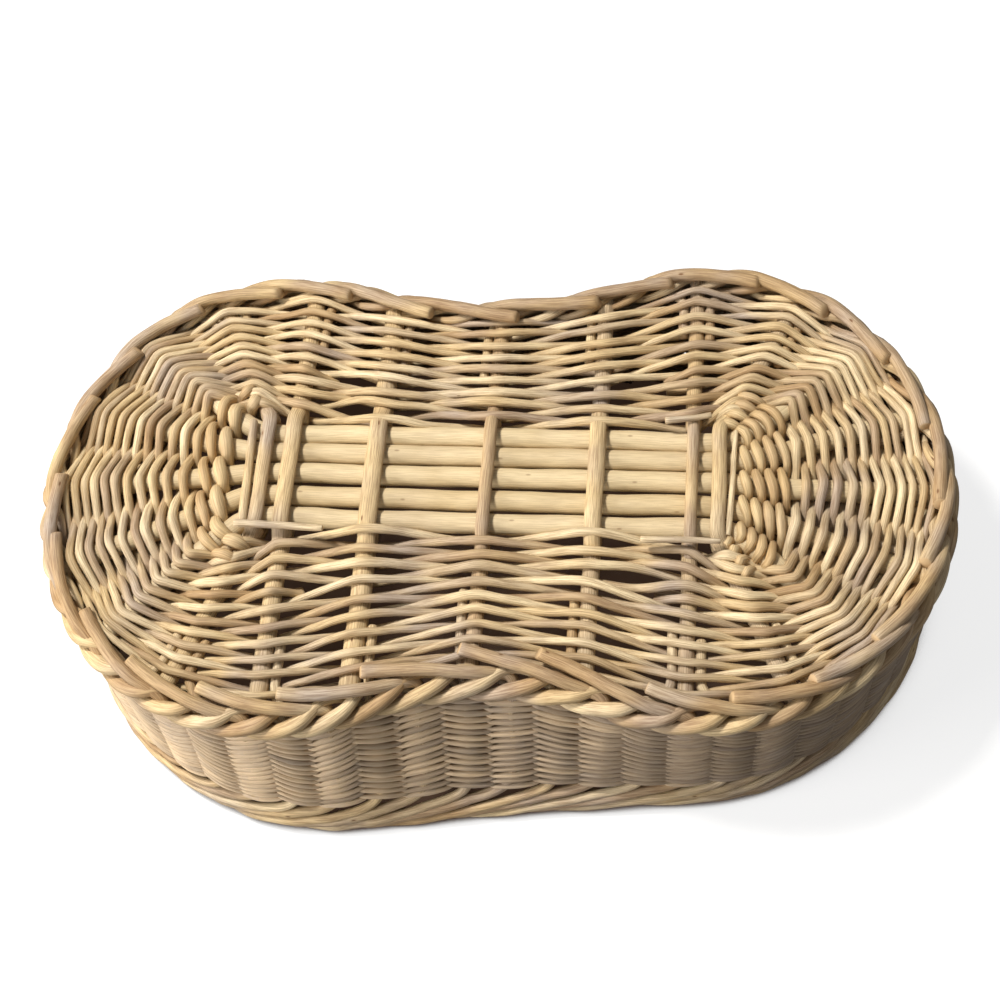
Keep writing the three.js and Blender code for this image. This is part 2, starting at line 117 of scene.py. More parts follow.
def outline_point(outline, turn, inset):
    """Points in plan at a share of the way round (0 right end, 0.5 left end, by the far side) and
    moved in from the edge: centre + (radius - bulge x inset) x (cos angle, sin angle)."""
    turn = np.mod(np.asarray(turn, float), 1.0)
    inset = np.broadcast_to(inset, turn.shape)
    point = np.zeros(turn.shape + (2,))
    for half, arcs in enumerate(outline):
        length = sum(arc["length"] for arc in arcs)
        travelled = (turn * 2 if half == 0 else 2 - turn * 2) * length
        on_half = (turn < 0.5) == (half == 0)
        begun = 0.0
        for arc in arcs:
            share = np.clip((travelled - begun) / arc["length"], 0, 1)
            angle = arc["start"] + (arc["stop"] - arc["start"]) * share
            reach = arc["radius"] - arc["bulge"] * inset
            spot = np.stack([reach * np.cos(angle), reach * np.sin(angle)], -1) + arc["centre"]
            here = on_half & (travelled >= begun)
            point = np.where(here[..., None], spot, point)
            begun += arc["length"]
    return point


left_lobe = {"centre": np.array([-LOBE_SPACING, -LOBE_OFFSET_Y]) / 2, "radius": LEFT_LOBE_RADIUS}
right_lobe = {"centre": np.array([LOBE_SPACING, LOBE_OFFSET_Y]) / 2, "radius": RIGHT_LOBE_RADIUS}

# %% Put the outlines where the solids are
MIDDLE_STICK_X = -1 * MM
SOLID_END_INSET = 15.5 * MM
SEARCH_STEPS = 4001


def outline_crossing(outline, x, inset, side):
    """The y where a line of constant x meets the far (1) or near (-1) side of an outline."""
    turns = np.linspace(0 if side > 0 else 1, 0.5, SEARCH_STEPS)
    points = outline_point(outline, turns, inset)
    return float(np.interp(-x, -points[:, 0], points[:, 1]))


def mouth_lobe(lobe, move, flare):
    """The round end of the mouth under a lobe: the lobe's circle, moved and made larger."""
    return {"centre": lobe["centre"] + move, "radius": lobe["radius"] + flare}


drawn = lobed_outline(left_lobe, right_lobe, FAR_WAIST_RADIUS, NEAR_WAIST_RADIUS)
low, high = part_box("cross_stick_3")
shift = np.array([
    (low.x + high.x) / 2 - MIDDLE_STICK_X,
    high.y - outline_crossing(drawn, MIDDLE_STICK_X, SOLID_END_INSET, 1),
])
for lobe in (left_lobe, right_lobe):
    lobe["centre"] = lobe["centre"] + shift
left_mouth = mouth_lobe(left_lobe, LEFT_MOUTH_SHIFT, LEFT_FLARE)
right_mouth = mouth_lobe(right_lobe, RIGHT_MOUTH_SHIFT, RIGHT_FLARE)
base_outline = lobed_outline(left_lobe, right_lobe, FAR_WAIST_RADIUS, NEAR_WAIST_RADIUS)
mouth_outline = lobed_outline(left_mouth, right_mouth, MOUTH_WAIST_RADIUS, MOUTH_WAIST_RADIUS)
perimeter = sum(arc["length"] for arcs in base_outline for arc in arcs)
print("the outlines moved by", (shift / MM).round(3), "mm; perimeter", round(perimeter, 4), "m")

# %% Fuller places
FAR_RIGHT_CORNER = {"place": 0.145, "reach": 0.065, "depth": 4.4 * MM}
FAR_LEFT_CORNER = {"place": 0.395, "reach": 0.04, "depth": 3.6 * MM}
NEAR_RIM = {"place": 0.75, "reach": 0.08, "depth": 2.6 * MM}


def fullness(turn, places):
    """How much further out than its arcs an edge lies: the sum of depth x exp(-(distance /
    reach)^2). A hand-made basket is never quite its drawing."""
    turn = np.mod(np.asarray(turn, float), 1.0)
    away = [(turn - each["place"]) / each["reach"] for each in places]
    return sum(each["depth"] * np.exp(-(gap**2)) for each, gap in zip(places, away))


def base_point(turn, inset):
    """A point of the edge of the base, which is fuller at its two far corners."""
    return outline_point(base_outline, turn, inset - fullness(turn, [FAR_RIGHT_CORNER, FAR_LEFT_CORNER]))


def mouth_point(turn, inset):
    """A point of the edge of the mouth, which is fuller along its near side."""
    return outline_point(mouth_outline, turn, inset - fullness(turn, [NEAR_RIM]))


def wall_point(turn, inset, height):
    """A point of the sloping wall: the base outline at the top and the mouth outline on the floor,
    mixed by the share of the height."""
    turn, inset, height = np.broadcast_arrays(turn, inset, height)
    share = (height / HEIGHT)[..., None]
    plan = base_point(turn, inset) * share
    plan = plan + mouth_point(turn, inset) * (1 - share)
    return np.concatenate([plan, height[..., None]], -1)


# %% How wide the foot border lies
BORDER_WIDTH = 9.8 * MM
WIDE_BORDER = 3.2 * MM
WIDE_PLACE = 0.71
WIDE_REACH = 0.14


def border_inset(turn):
    """How far in from the edge the border's cut ends lie: evenly all round, but further along the
    near waist, by exp(-(distance / reach)^4)."""
    away = (np.asarray(turn) - WIDE_PLACE) / WIDE_REACH
    return BORDER_WIDTH + WIDE_BORDER * np.exp(-(away**4))


# %% [markdown]
# ## A rod
# A willow rod is round and long, a little thicker at the butt than at the tip, never quite
# straight, and cut off clean at its ends. A curve object with a bevel would give a tube, but a
# grid of our own also gives the taper, the cut ends, and a map of the surface for the grain. The
# rings stand square to the path, and a guide direction says which way is up, so nothing twists.

# %% Smooth paths and gentle waves
RING_SPACING = 2.2 * MM
SOFT_SPACING = 1.2 * MM
LEAST_RINGS = 4
WAVE_LENGTHS = np.array([1.0, 0.61, 0.37])
WAVE_HEIGHTS = np.array([0.6, 0.3, 0.2])


def unit(vectors):
    """The same directions with length 1."""
    return vectors / np.linalg.norm(vectors, axis=-1, keepdims=True)


def smooth_through(points, steps):
    """A curve through the points: each span is a cubic whose slope at a point is half the step
    between that point's neighbours."""
    points = np.asarray(points, float)
    spans = len(points) - 1
    padded = np.vstack([2 * points[0] - points[1], points, 2 * points[-1] - points[-2]])
    before, start, end, after = (padded[first : first + spans, None] for first in range(4))
    u = np.linspace(0, 1, steps, endpoint=False)[None, :, None]
    curve = start + 0.5 * u * (end - before)
    curve = curve + 0.5 * u**2 * (2 * before - 5 * start + 4 * end - after)
    curve = curve + 0.5 * u**3 * (3 * start - before - 3 * end + after)
    return np.vstack([curve.reshape(-1, points.shape[1]), points[-1:]])


def path_length(path):
    """The distance travelled along a path, at each of its points."""
    steps = np.linalg.norm(np.diff(path, axis=0), axis=1)
    return np.concatenate([[0.0], np.cumsum(steps)])


def evenly(path, others=(), spacing=RING_SPACING):
    """The path cut into equal steps, with other values along it cut in the same way."""
    travelled = path_length(path)
    count = max(LEAST_RINGS, int(round(travelled[-1] / spacing)) + 1)
    marks = np.linspace(0, travelled[-1], count)
    cut = [
        np.stack([np.interp(marks, travelled, column) for column in np.atleast_2d(values.T)], -1)
        for values in (path, *others)
    ]
    return cut[0] if not others else cut


def softened(points, guides, reach):
    """A path along straight lines between way points, with its corners rounded: each point
    becomes the weighted mean of its neighbours within reach. The guides are carried along."""
    path, guide = evenly(np.asarray(points, float), [guides], SOFT_SPACING)
    half = int(round(reach / SOFT_SPACING))
    weights = np.hanning(2 * half + 3)[1:-1]
    weights = weights / weights.sum()
    both = np.hstack([path, guide])
    start = 2 * both[0] - both[half:0:-1]
    end = 2 * both[-1] - both[-2 : -half - 2 : -1]
    padded = np.vstack([start, both, end])
    soft = np.stack([np.convolve(column, weights, "valid") for column in padded.T], -1)
    return evenly(soft[:, :3], [soft[:, 3:]])


def waves(distance, wavelength, rng, columns=1):
    """Smooth noise about as high as 1: three sine waves of unlike length and random phase."""
    phases = rng.uniform(0, 2 * np.pi, (3, columns))
    lengths = wavelength * WAVE_LENGTHS
    turns = 2 * np.pi * distance[:, None, None] / lengths[None, :, None] + phases[None]
    return (np.sin(turns) * WAVE_HEIGHTS[None, :, None]).sum(1)


# %% A rod as a surface
ROD_SIDES = 10
UV_UNIT = 10 * MM
MAP_STEP = 37.0
BEVEL_SHARE = 0.8
BEVEL_REACH = 0.22
TILT_RINGS = 0.8


def rod(path, radius, guide, tone, sides=ROD_SIDES, flat=1.0, slants=(0.0, 0.0), closed=False):
    """A rod: point = path + radius x (cos a x side + flat x sin a x up), for a round the rod and
    the path along it. The map of the surface is in centimetres round and along, and each open end
    closes with a smaller ring and a pole. Rods of unlike tone start at other places of the map, so
    their grain differs. A slant tilts the cut so that its upper side is short."""
    count = len(path)
    radius = np.broadcast_to(radius, count).astype(float)
    step = np.roll(path, -1, 0) - np.roll(path, 1, 0) if closed else np.gradient(path, axis=0)
    along = unit(step)
    guide = np.broadcast_to(guide, path.shape)
    up = unit(guide - (guide * along).sum(1, keepdims=True) * along)
    side = np.cross(along, up)
    turn = np.arange(sides) / sides * 2 * np.pi - np.pi / 2
    lift = np.sin(turn)[None, :, None]
    section = np.cos(turn)[None, :, None] * side[:, None] + flat * lift * up[:, None]
    rings = path[:, None] + radius[:, None, None] * section
    travelled = path_length(path)
    cut = np.zeros((count, sides))
    if not closed:
        rings, travelled, cut = close_ends(rings, path, radius, along, lift, slants, travelled)
    rows = len(rings)
    index = np.arange(rows * sides).reshape(rows, sides)
    after = np.roll(index, -1, 0) if closed else index[1:]
    here = index if closed else index[:-1]
    quads = np.stack([here, after, np.roll(after, -1, 1), np.roll(here, -1, 1)], -1).reshape(-1, 4)
    points = rings.reshape(-1, 3)
    girth = 2 * np.pi * radius.mean() / UV_UNIT
    seed_place = MAP_STEP * tone
    u = np.arange(sides + 1) / sides * girth
    v = travelled / UV_UNIT + seed_place
    if closed:
        v = np.append(v, v[-1] + (v[1] - v[0]))
    corner_u = np.stack([u[:-1], u[:-1], u[1:], u[1:]], -1)
    corner_v = np.stack([v[:-1], v[1:], v[1:], v[:-1]], -1)
    faces = (len(here), sides, 4)
    uv = np.stack([np.broadcast_to(corner_u[None], faces), np.broadcast_to(corner_v[:, None], faces)], -1)
    uv = uv.reshape(-1, 2)
    triangles = np.zeros((0, 3), int)
    cut = cut.ravel()
    if not closed:
        first, last = index[0], index[-1]
        poles = np.stack([rings[0].mean(0), rings[-1].mean(0)])
        start_pole, end_pole = rows * sides, rows * sides + 1
        triangles = np.vstack([
            np.stack([np.full(sides, start_pole), first, np.roll(first, -1)], -1),
            np.stack([np.full(sides, end_pole), np.roll(last, -1), last], -1),
        ])
        points = np.vstack([points, poles])
        cut = np.append(cut, [1.0, 1.0])
        cap_uv = np.full((len(triangles) * 3, 2), seed_place)
        uv = np.vstack([uv, cap_uv])
    tones = np.full(len(points), tone)
    return {"points": points, "quads": quads, "triangles": triangles, "uv": uv, "tone": tones, "cut": cut}


def close_ends(rings, path, radius, along, lift, slants, travelled):
    """Tilts the last rings of each open end, less and less from ring to ring, and adds a smaller
    ring beyond it."""
    fade = np.exp(-np.arange(len(rings)) / TILT_RINGS)[:, None, None]
    tilt = slants[0] * fade - slants[1] * fade[::-1]
    rings = rings + tilt * radius[:, None, None] * lift * along[:, None]
    ends = []
    for end, sign in ((0, -1), (-1, 1)):
        middle = rings[end].mean(0)
        reach = sign * BEVEL_REACH * radius[end] * along[end]
        ends.append(middle + (rings[end] - middle) * BEVEL_SHARE + reach)
    rings = np.concatenate([ends[0][None], rings, ends[1][None]])
    travelled = np.concatenate([travelled[:1] - radius[0] / 2, travelled, travelled[-1:] + radius[-1] / 2])
    cut = np.zeros(rings.shape[:2])
    cut[[0, -1]] = 1.0
    return rings, travelled, cut


# %% From rods to a piece
made = {}


def put_in_scene(name, data):
    """A new object in the scene, at the origin."""
    item = bpy.data.objects.new(name, data)
    bpy.context.scene.collection.objects.link(item)
    return item


def make_piece(name, rods, material, nodes=()):
    """Joins rods into one mesh that rides on the basket and stands for its solids."""
    sizes = [len(each["points"]) for each in rods]
    starts = np.concatenate([[0], np.cumsum(sizes)[:-1]])
    points = np.vstack([each["points"] for each in rods])
    quads = np.vstack([each["quads"] + start for each, start in zip(rods, starts)])
    triangles = np.vstack([each["triangles"] + start for each, start in zip(rods, starts)])
    corners = [each["uv"][: 4 * len(each["quads"])] for each in rods]
    cap_corners = [each["uv"][4 * len(each["quads"]) :] for each in rods]
    mesh = bpy.data.meshes.new(name)
    mesh.from_pydata(points.tolist(), [], quads.tolist() + triangles.tolist())
    mesh.uv_layers.new(name="rod").data.foreach_set("uv", np.vstack(corners + cap_corners).ravel())
    for key in ("tone", "cut"):
        values = np.concatenate([each[key] for each in rods])
        mesh.attributes.new(key, "FLOAT", "POINT").data.foreach_set("value", values)
    mesh.shade_smooth()
    mesh.materials.append(material)
    piece = put_in_scene(name, mesh)
    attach(piece, "root")
    if nodes:
        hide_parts(*nodes)
    made[name] = 2 * len(quads) + len(triangles)
    return piece


# %% [markdown]
# ## Peeled willow
# Willow that is boiled or peeled turns from cream to straw and tan. Each rod has its own tone, and
# along it run fine fibres, paler and greyer stretches, and now and then a small dark bud scar. An
# image could hold all that, but a few noises on the rod's own map do it at any size. The pattern
# is one group of nodes, used by four materials with their own colours.

# %% The willow pattern as a node group
def srgb(red, green, blue):
    """A colour as the eye names it, turned into the linear light that the shader works in: the
    standard curve, ((c + 0.055) / 1.055) ^ 2.4. None of the colours here is dark enough for the
    straight foot of that curve."""
    return tuple(((c + 0.055) / 1.055) ** 2.4 for c in (red, green, blue)) + (1.0,)


WILLOW_INPUTS = {
    "Color": ["Light", "Middle", "Deep", "Grey"],
    "Float": ["Grey Share", "Fibre Depth", "Scar Depth", "Tone", "Cut"],
    "Vector": ["Map", "Place"],
}
WILLOW_OUTPUTS = {"Color": ["Color"], "Float": ["Roughness", "Height"]}
PATCHES = {"scale": 0.55, "stretch": (1.2, 0.5, 1.0), "detail": 2.0}
FIBRES = {"scale": 9.0, "stretch": (2.4, 0.09, 1.0), "detail": 4.0}
SPECKS = {"scale": 30.0, "stretch": (1.6, 0.25, 1.0), "detail": 2.0}
DRIFT = {"scale": 22.0, "stretch": (1.0, 1.0, 1.0), "detail": 2.0}
NOISE_MEAN = 0.5
NOISE_ROUGHNESS = 0.55
PATCH_WEIGHT = 1.4
FIBRE_WEIGHT = 0.5
MIDDLE_TONE = 0.55
DEEP_TONE = 1.1
GREY_DICE = 7.31
# Each of these says between which two values something rises, and if need be from what to what.
GREY_BY_DRIFT = (0.42, 0.7)
GREY_BY_DICE = (0.5, 1.0, 0.0, 0.6)
GREY_BY_PATCH = (0.3, 0.6, 0.35, 1.0)
LINES_BY_FIBRE = (0.36, 0.62)
SCAR_BY_DISTANCE = (0.02, 0.06, 1.0, 0.0)
SPECK_BY_NOISE = (0.64, 0.74)
BROWN_BY_CUT = (0.35, 0.9, 0.0, 0.8)
STREAK_BROWN = (0.24, 0.13, 0.05, 1.0)
SCAR_BROWN = (0.16, 0.075, 0.03, 1.0)
SCAR_STRETCH = (1.0, 0.42, 1.0)
SCAR_SCALE = 0.9
SPECK_SHARE = 0.5
CUT_LIGHT = (0.62, 0.45, 0.25, 1.0)
CUT_DEEP = (0.42, 0.27, 0.14, 1.0)
ROUGHNESS = 0.7
FIBRE_GLOSS = -0.22
SCAR_ROUGHNESS = 0.2
FIBRE_HEIGHT = 0.7
SPECK_HEIGHT = 0.3
SCAR_HEIGHT = -0.6


class NodeMaker:
    """Adds nodes to a tree and joins them as it goes."""

    def __init__(self, tree):
        self.tree = tree

    def add(self, kind, inputs=(), **settings):
        node = self.tree.nodes.new(kind)
        for key, value in settings.items():
            setattr(node, key, value)
        self.fill(node, inputs)
        return node

    def fill(self, node, inputs):
        for key, value in dict(inputs).items():
            if isinstance(value, bpy.types.NodeSocket):
                self.tree.links.new(value, node.inputs[key])
            else:
                node.inputs[key].default_value = value

    def math(self, operation, first, second=0.0, third=0.0):
        node = self.add("ShaderNodeMath", {0: first, 1: second, 2: third}, operation=operation)
        return node.outputs[0]

    def mix(self, factor, first, second, blend="MIX"):
        inputs = {0: factor, 6: first, 7: second}
        return self.add("ShaderNodeMix", inputs, data_type="RGBA", blend_type=blend).outputs[2]

    def spread(self, value, low, high, out_low=0.0, out_high=1.0):
        inputs = {0: value, 1: low, 2: high, 3: out_low, 4: out_high}
        return self.add("ShaderNodeMapRange", inputs, interpolation_type="SMOOTHSTEP").outputs[0]

    def noise(self, vector, scale, stretch, detail):
        stretched = self.add("ShaderNodeMapping", {"Vector": vector, "Scale": stretch}).outputs[0]
        inputs = {"Vector": stretched, "Scale": scale, "Detail": detail, "Roughness": NOISE_ROUGHNESS}
        return self.add("ShaderNodeTexNoise", inputs).outputs[0]


def willow_group():
    """Color = light, middle and deep tone mixed by the rod's tone and slow noise, greyed in
    patches, streaked by fibres, spotted by scars, and brown at cut ends."""
    group = bpy.data.node_groups.new("willow_pattern", "ShaderNodeTree")
    for way, sockets in (("INPUT", WILLOW_INPUTS), ("OUTPUT", WILLOW_OUTPUTS)):
        for kind, names in sockets.items():
            for name in names:
                group.interface.new_socket(name, in_out=way, socket_type=f"NodeSocket{kind}")
    nodes = NodeMaker(group)
    given = nodes.add("NodeGroupInput").outputs
    patch = nodes.noise(given["Map"], **PATCHES)
    fibre = nodes.noise(given["Map"], **FIBRES)
    fine = nodes.noise(given["Map"], **SPECKS)
    drift = nodes.noise(given["Place"], **DRIFT)
    tone = nodes.math("MULTIPLY_ADD", nodes.math("SUBTRACT", patch, NOISE_MEAN), PATCH_WEIGHT, given["Tone"])
    tone = nodes.math("MULTIPLY_ADD", nodes.math("SUBTRACT", fibre, NOISE_MEAN), FIBRE_WEIGHT, tone)
    colour = nodes.mix(nodes.spread(tone, 0.0, MIDDLE_TONE), given["Light"], given["Middle"])
    colour = nodes.mix(nodes.spread(tone, MIDDLE_TONE, DEEP_TONE), colour, given["Deep"])
    own = nodes.math("FRACT", nodes.math("MULTIPLY", given["Tone"], GREY_DICE))
    greyed = nodes.math("ADD", nodes.spread(drift, *GREY_BY_DRIFT), nodes.spread(own, *GREY_BY_DICE))
    greyed = nodes.math("MULTIPLY", greyed, given["Grey Share"])
    greyed = nodes.math("MULTIPLY", greyed, nodes.spread(patch, *GREY_BY_PATCH))
    colour = nodes.mix(greyed, colour, given["Grey"])
    lines = nodes.spread(fibre, *LINES_BY_FIBRE)
    streak = nodes.math("MULTIPLY", nodes.math("SUBTRACT", 1.0, lines), given["Fibre Depth"])
    colour = nodes.mix(streak, colour, STREAK_BROWN, "MULTIPLY")
    scar_map = nodes.add("ShaderNodeMapping", {"Vector": given["Map"], "Scale": SCAR_STRETCH}).outputs[0]
    cells = nodes.add("ShaderNodeTexVoronoi", {"Vector": scar_map, "Scale": SCAR_SCALE, "Randomness": 1.0})
    scar = nodes.spread(cells.outputs["Distance"], *SCAR_BY_DISTANCE)
    speck = nodes.math("MULTIPLY", nodes.spread(fine, *SPECK_BY_NOISE), SPECK_SHARE)
    marks = nodes.math("MULTIPLY", nodes.math("MAXIMUM", scar, speck), given["Scar Depth"])
    colour = nodes.mix(marks, colour, SCAR_BROWN)
    cut_face = nodes.mix(fine, CUT_LIGHT, CUT_DEEP)
    colour = nodes.mix(nodes.spread(given["Cut"], *BROWN_BY_CUT), colour, cut_face)
    rough = nodes.math("MULTIPLY_ADD", fibre, FIBRE_GLOSS, ROUGHNESS)
    rough = nodes.math("MULTIPLY_ADD", marks, SCAR_ROUGHNESS, rough)
    height = nodes.math("MULTIPLY_ADD", fibre, FIBRE_HEIGHT, nodes.math("MULTIPLY", fine, SPECK_HEIGHT))
    height = nodes.math("MULTIPLY_ADD", marks, SCAR_HEIGHT, height)
    nodes.add("NodeGroupOutput", {"Color": colour, "Roughness": rough, "Height": height})
    return group


willow_pattern = willow_group()

# %% Four materials from one pattern
PALE = srgb(0.86, 0.78, 0.62)
BUTTER = srgb(0.81, 0.72, 0.55)
# Painted light: the wall's palest colour, which its left end reaches where the wall looks lit.
PAINTED_LIGHT_HUSK = srgb(0.88, 0.78, 0.64)
CREAM = srgb(0.92, 0.84, 0.68)
STRAW = srgb(0.83, 0.73, 0.55)
SAND = srgb(0.78, 0.66, 0.47)
TAN = srgb(0.70, 0.58, 0.42)
GREY = srgb(0.70, 0.64, 0.58)
# Painted shade: the wall's middle and deep colours are the willow darker and greyer, as the wall lies in
# shade.
PAINTED_SHADE_DULL = srgb(0.67, 0.59, 0.49)
PAINTED_SHADE_DARK = srgb(0.59, 0.52, 0.45)
SHEEN = 0.34
RELIEF_DEPTH = 0.4 * MM


def fresh_nodes(owner):
    """Turns on the nodes of a material or world, and clears them."""
    owner.use_nodes = True
    owner.node_tree.nodes.clear()
    return NodeMaker(owner.node_tree)


def willow(name, light, middle, deep, grey_share, fibre_depth, scar_depth, bump, painted_light_and_shade_slope=0.0):
    """A peeled willow material: the shared pattern drives colour, roughness and bump. The last
    argument paints light and shade: it is how much deeper the tone grows with each metre to the
    right, so that one end looks lit and the other shaded."""
    material = bpy.data.materials.new(name)
    nodes = fresh_nodes(material)
    tone = nodes.add("ShaderNodeAttribute", attribute_name="tone").outputs["Fac"]
    cut = nodes.add("ShaderNodeAttribute", attribute_name="cut").outputs["Fac"]
    rod_map = nodes.add("ShaderNodeUVMap", uv_map="rod").outputs[0]
    place = nodes.add("ShaderNodeTexCoord").outputs["Object"]
    rightwards = nodes.add("ShaderNodeSeparateXYZ", {0: place}).outputs[0]
    # Painted light and shade: the tone grows paler to the left and deeper to the right.
    tone = nodes.math("MULTIPLY_ADD", rightwards, painted_light_and_shade_slope, tone)
    pattern = nodes.add("ShaderNodeGroup", node_tree=willow_pattern)
    given = {
        "Light": light,
        "Middle": middle,
        "Deep": deep,
        "Grey": GREY,
        "Grey Share": grey_share,
        "Fibre Depth": fibre_depth,
        "Scar Depth": scar_depth,
        "Tone": tone,
        "Cut": cut,
        "Map": rod_map,
        "Place": place,
    }
    nodes.fill(pattern, given)
    height = pattern.outputs["Height"]
    relief = nodes.add("ShaderNodeBump", {"Height": height, "Strength": bump, "Distance": RELIEF_DEPTH})
    looks = {
        "Base Color": pattern.outputs["Color"],
        "Roughness": pattern.outputs["Roughness"],
        "Normal": relief.outputs[0],
        "Specular IOR Level": SHEEN,
    }
    shader = nodes.add("ShaderNodeBsdfPrincipled", looks)
    nodes.add("ShaderNodeOutputMaterial", {"Surface": shader.outputs[0]})
    return material


pale_depths = {"grey_share": 0.2, "fibre_depth": 0.28, "scar_depth": 0.5, "bump": 0.5}
straw_depths = {"grey_share": 0.7, "fibre_depth": 0.55, "scar_depth": 0.9, "bump": 0.8}
tan_depths = {"grey_share": 0.3, "fibre_depth": 0.45, "scar_depth": 0.5, "bump": 0.7}
shade_depths = {"grey_share": 0.4, "fibre_depth": 0.35, "scar_depth": 0.5, "bump": 0.5}
pale_willow = willow("pale_willow", PALE, BUTTER, STRAW, **pale_depths)
straw_willow = willow("straw_willow", CREAM, STRAW, TAN, **straw_depths)
tan_willow = willow("tan_willow", STRAW, SAND, TAN, **tan_depths)
# The wall's material is painted shade: its colours are the willow darker and greyer, and paler at the left
# end as painted light.
shade_willow = willow("shade_willow", PAINTED_LIGHT_HUSK, PAINTED_SHADE_DULL, PAINTED_SHADE_DARK, **shade_depths, painted_light_and_shade_slope=3.5)

# %% [markdown]
# ## The slath
# The heart of the base is the slath: five long sticks pushed through slits in five shorter ones.
# Beyond them a bowed stick at each end opens its arms, and the long sticks fan out like the ribs
# of a shell. Every ray that the weave will pass is worked out first, as a start and a direction,
# because the sticks and the weave both need it.

# %% The rays of the base
SLATH_CENTRE = shift[1] + 5.2 * MM
CROSS_X = shift[0] + np.array([-89, -51, -1, 46, 87]) * MM
CROSS_RADII = np.array([4.1, 4.6, 3.5, 3.7, 3.4]) * MM
CROSS_WIDTHS = np.array([7.4, 8.2, 5.7, 7.3, 5.2]) * MM
CROSS_START = np.array([4.0, 1.2, 1.2, 1.2, 3.0]) * MM
CROSS_TONES = [0.55, 0.6, 0.9, 0.4, 0.75]
BOW_RADIUS = 3.9 * MM
BOW_WIDTH = 6.4 * MM
BOW_START = 9 * MM
LONG_RADIUS = 4.1 * MM
LONG_START = {1: 25.5 * MM, -1: 25 * MM}
LONG_PITCH = 10.25 * MM
LONG_COUNT = 5
SLOT_HALF = 24.65 * MM
PRONG_HEIGHT = 8.6 * MM
PRONG_TAPER = 6 * MM
BOW_OFFSET = 11.4 * MM
FAN_LEAD = 6.6 * MM
FAN_COUNT = LONG_COUNT + 2
BASE_PLANE = 79.05 * MM
STICK_END = 4.5 * MM
WEAVE_MARGIN = 0.5 * MM
TUCKED_SHARE = 0.4
RAY_SEARCH = np.linspace(0, 130 * MM, 1301)
EDGE_SEARCH = np.linspace(0, 1, 1401)[:-1]
UP = np.array([0.0, 0.0, 1.0])


def reach_edge(start, direction, margin):
    """How far along a line from inside the base it comes that near to the border's cut ends, or
    somewhat under them where the border is wide."""
    line = start + direction * RAY_SEARCH[:, None]
    inset = BORDER_WIDTH + (border_inset(EDGE_SEARCH) - BORDER_WIDTH) * (1 - TUCKED_SHARE)
    edge = base_point(EDGE_SEARCH, inset + margin)
    away = np.hypot(*(line[:, None] - edge[None]).transpose(2, 0, 1))
    return float(RAY_SEARCH[away.min(1).argmin()])


def base_ray(start, direction, radius, kind, first):
    """A ray of the base: where it starts, where it goes, and between which distances it is woven."""
    length = reach_edge(start, direction, -STICK_END + WEAVE_MARGIN)
    return {
        "start": start,
        "direction": direction,
        "end": start + direction * length,
        "outer": reach_edge(start, direction, WEAVE_MARGIN),
        "radius": radius,
        "kind": kind,
        "first": first,
    }


def lobe_fan(lobe, side, bow_x):
    """The seven rays of a lobe, 22.5 degrees apart, anticlockwise: the bow stick's arms are the
    first and the last."""
    fan = []
    for place in range(FAN_COUNT):
        turn = (place + 1) * math.pi / (FAN_COUNT + 1) - math.pi / 2
        angle = turn if side > 0 else math.pi + turn
        is_bow = place in (0, FAN_COUNT - 1)
        middle = (FAN_COUNT - 1) / 2
        height = side * (math.copysign(SLOT_HALF, turn) if is_bow else (place - middle) * LONG_PITCH)
        start_x = bow_x + (0 if is_bow else side * FAN_LEAD)
        start = np.array([start_x, SLATH_CENTRE + height])
        reach = lobe["radius"] - SOLID_END_INSET
        end = lobe["centre"] + reach * np.array([math.cos(angle), math.sin(angle)])
        direction = (end - start) / np.hypot(*(end - start))
        if is_bow:
            fan.append(base_ray(start, direction, BOW_RADIUS, "bow", BOW_START))
        else:
            fan.append(base_ray(start, direction, LONG_RADIUS, "long", LONG_START[side]))
    return fan


def side_rays(side):
    """The rays of the cross sticks on one side, from left to right."""
    found = []
    for x, radius, first in zip(CROSS_X, CROSS_RADII, CROSS_START):
        start = np.array([x, SLATH_CENTRE + side * SLOT_HALF])
        found.append(base_ray(start, np.array([0.0, side]), radius, "cross", first))
    return found


right_bow_x = CROSS_X[-1] + BOW_OFFSET
left_bow_x = CROSS_X[0] - BOW_OFFSET
right_fan = lobe_fan(right_lobe, 1, right_bow_x)
left_fan = lobe_fan(left_lobe, -1, left_bow_x)
far_side, near_side = side_rays(1), side_rays(-1)
rays = right_fan + far_side[::-1] + left_fan + near_side
RAY_COUNT = len(rays)
print("rays:", RAY_COUNT, "weave depth (mm):", [round((ray["outer"] - ray["first"]) / MM) for ray in rays])

# %% [markdown]
# ## Long sticks and split sticks
# The long sticks are the palest rods of the basket. Each is one stick from lobe to lobe, so its
# path runs from the end of one ray through the slath to the end of another, rounded where it
# bends. A split stick is a round rod at both ends and two half rods in the middle, one above and
# one below the long sticks: four rods laid into each other make it.

# %% Five long sticks
stick_rng = np.random.default_rng(11)
STICK_SIDES = 16
LONG_DRIFT = np.array([-0.3, 0.2, 1.2, 1.0, 0.3]) * MM
LONG_WIDTH = 9.3 * MM
LONG_TONES = (0.0, 0.45)
LONG_TAPER = 0.1
LONG_SWELL = 0.018
LONG_SWAY = 0.25 * MM
FAN_BENDS = (12 * MM, 34 * MM)
SLATH_POINTS = 6
PATH_STEPS = 12
SWELL_LENGTH = 24 * MM


def on_base(points, height=0.0):
    """Plan points lifted to the plane of the base sticks."""
    points = np.asarray(points, float)
    return np.column_stack([points, np.full(len(points), BASE_PLANE) + height])


def base_path(points, height=0.0, steps=PATH_STEPS):
    """A smooth path through plan points, at some height over the plane of the base sticks."""
    return evenly(smooth_through(on_base(points, height), steps))


def natural(path, rng, sway, wavelength=60 * MM):
    """The path with a gentle sway in all three directions."""
    return path + sway * waves(path_length(path), wavelength, rng, 3)


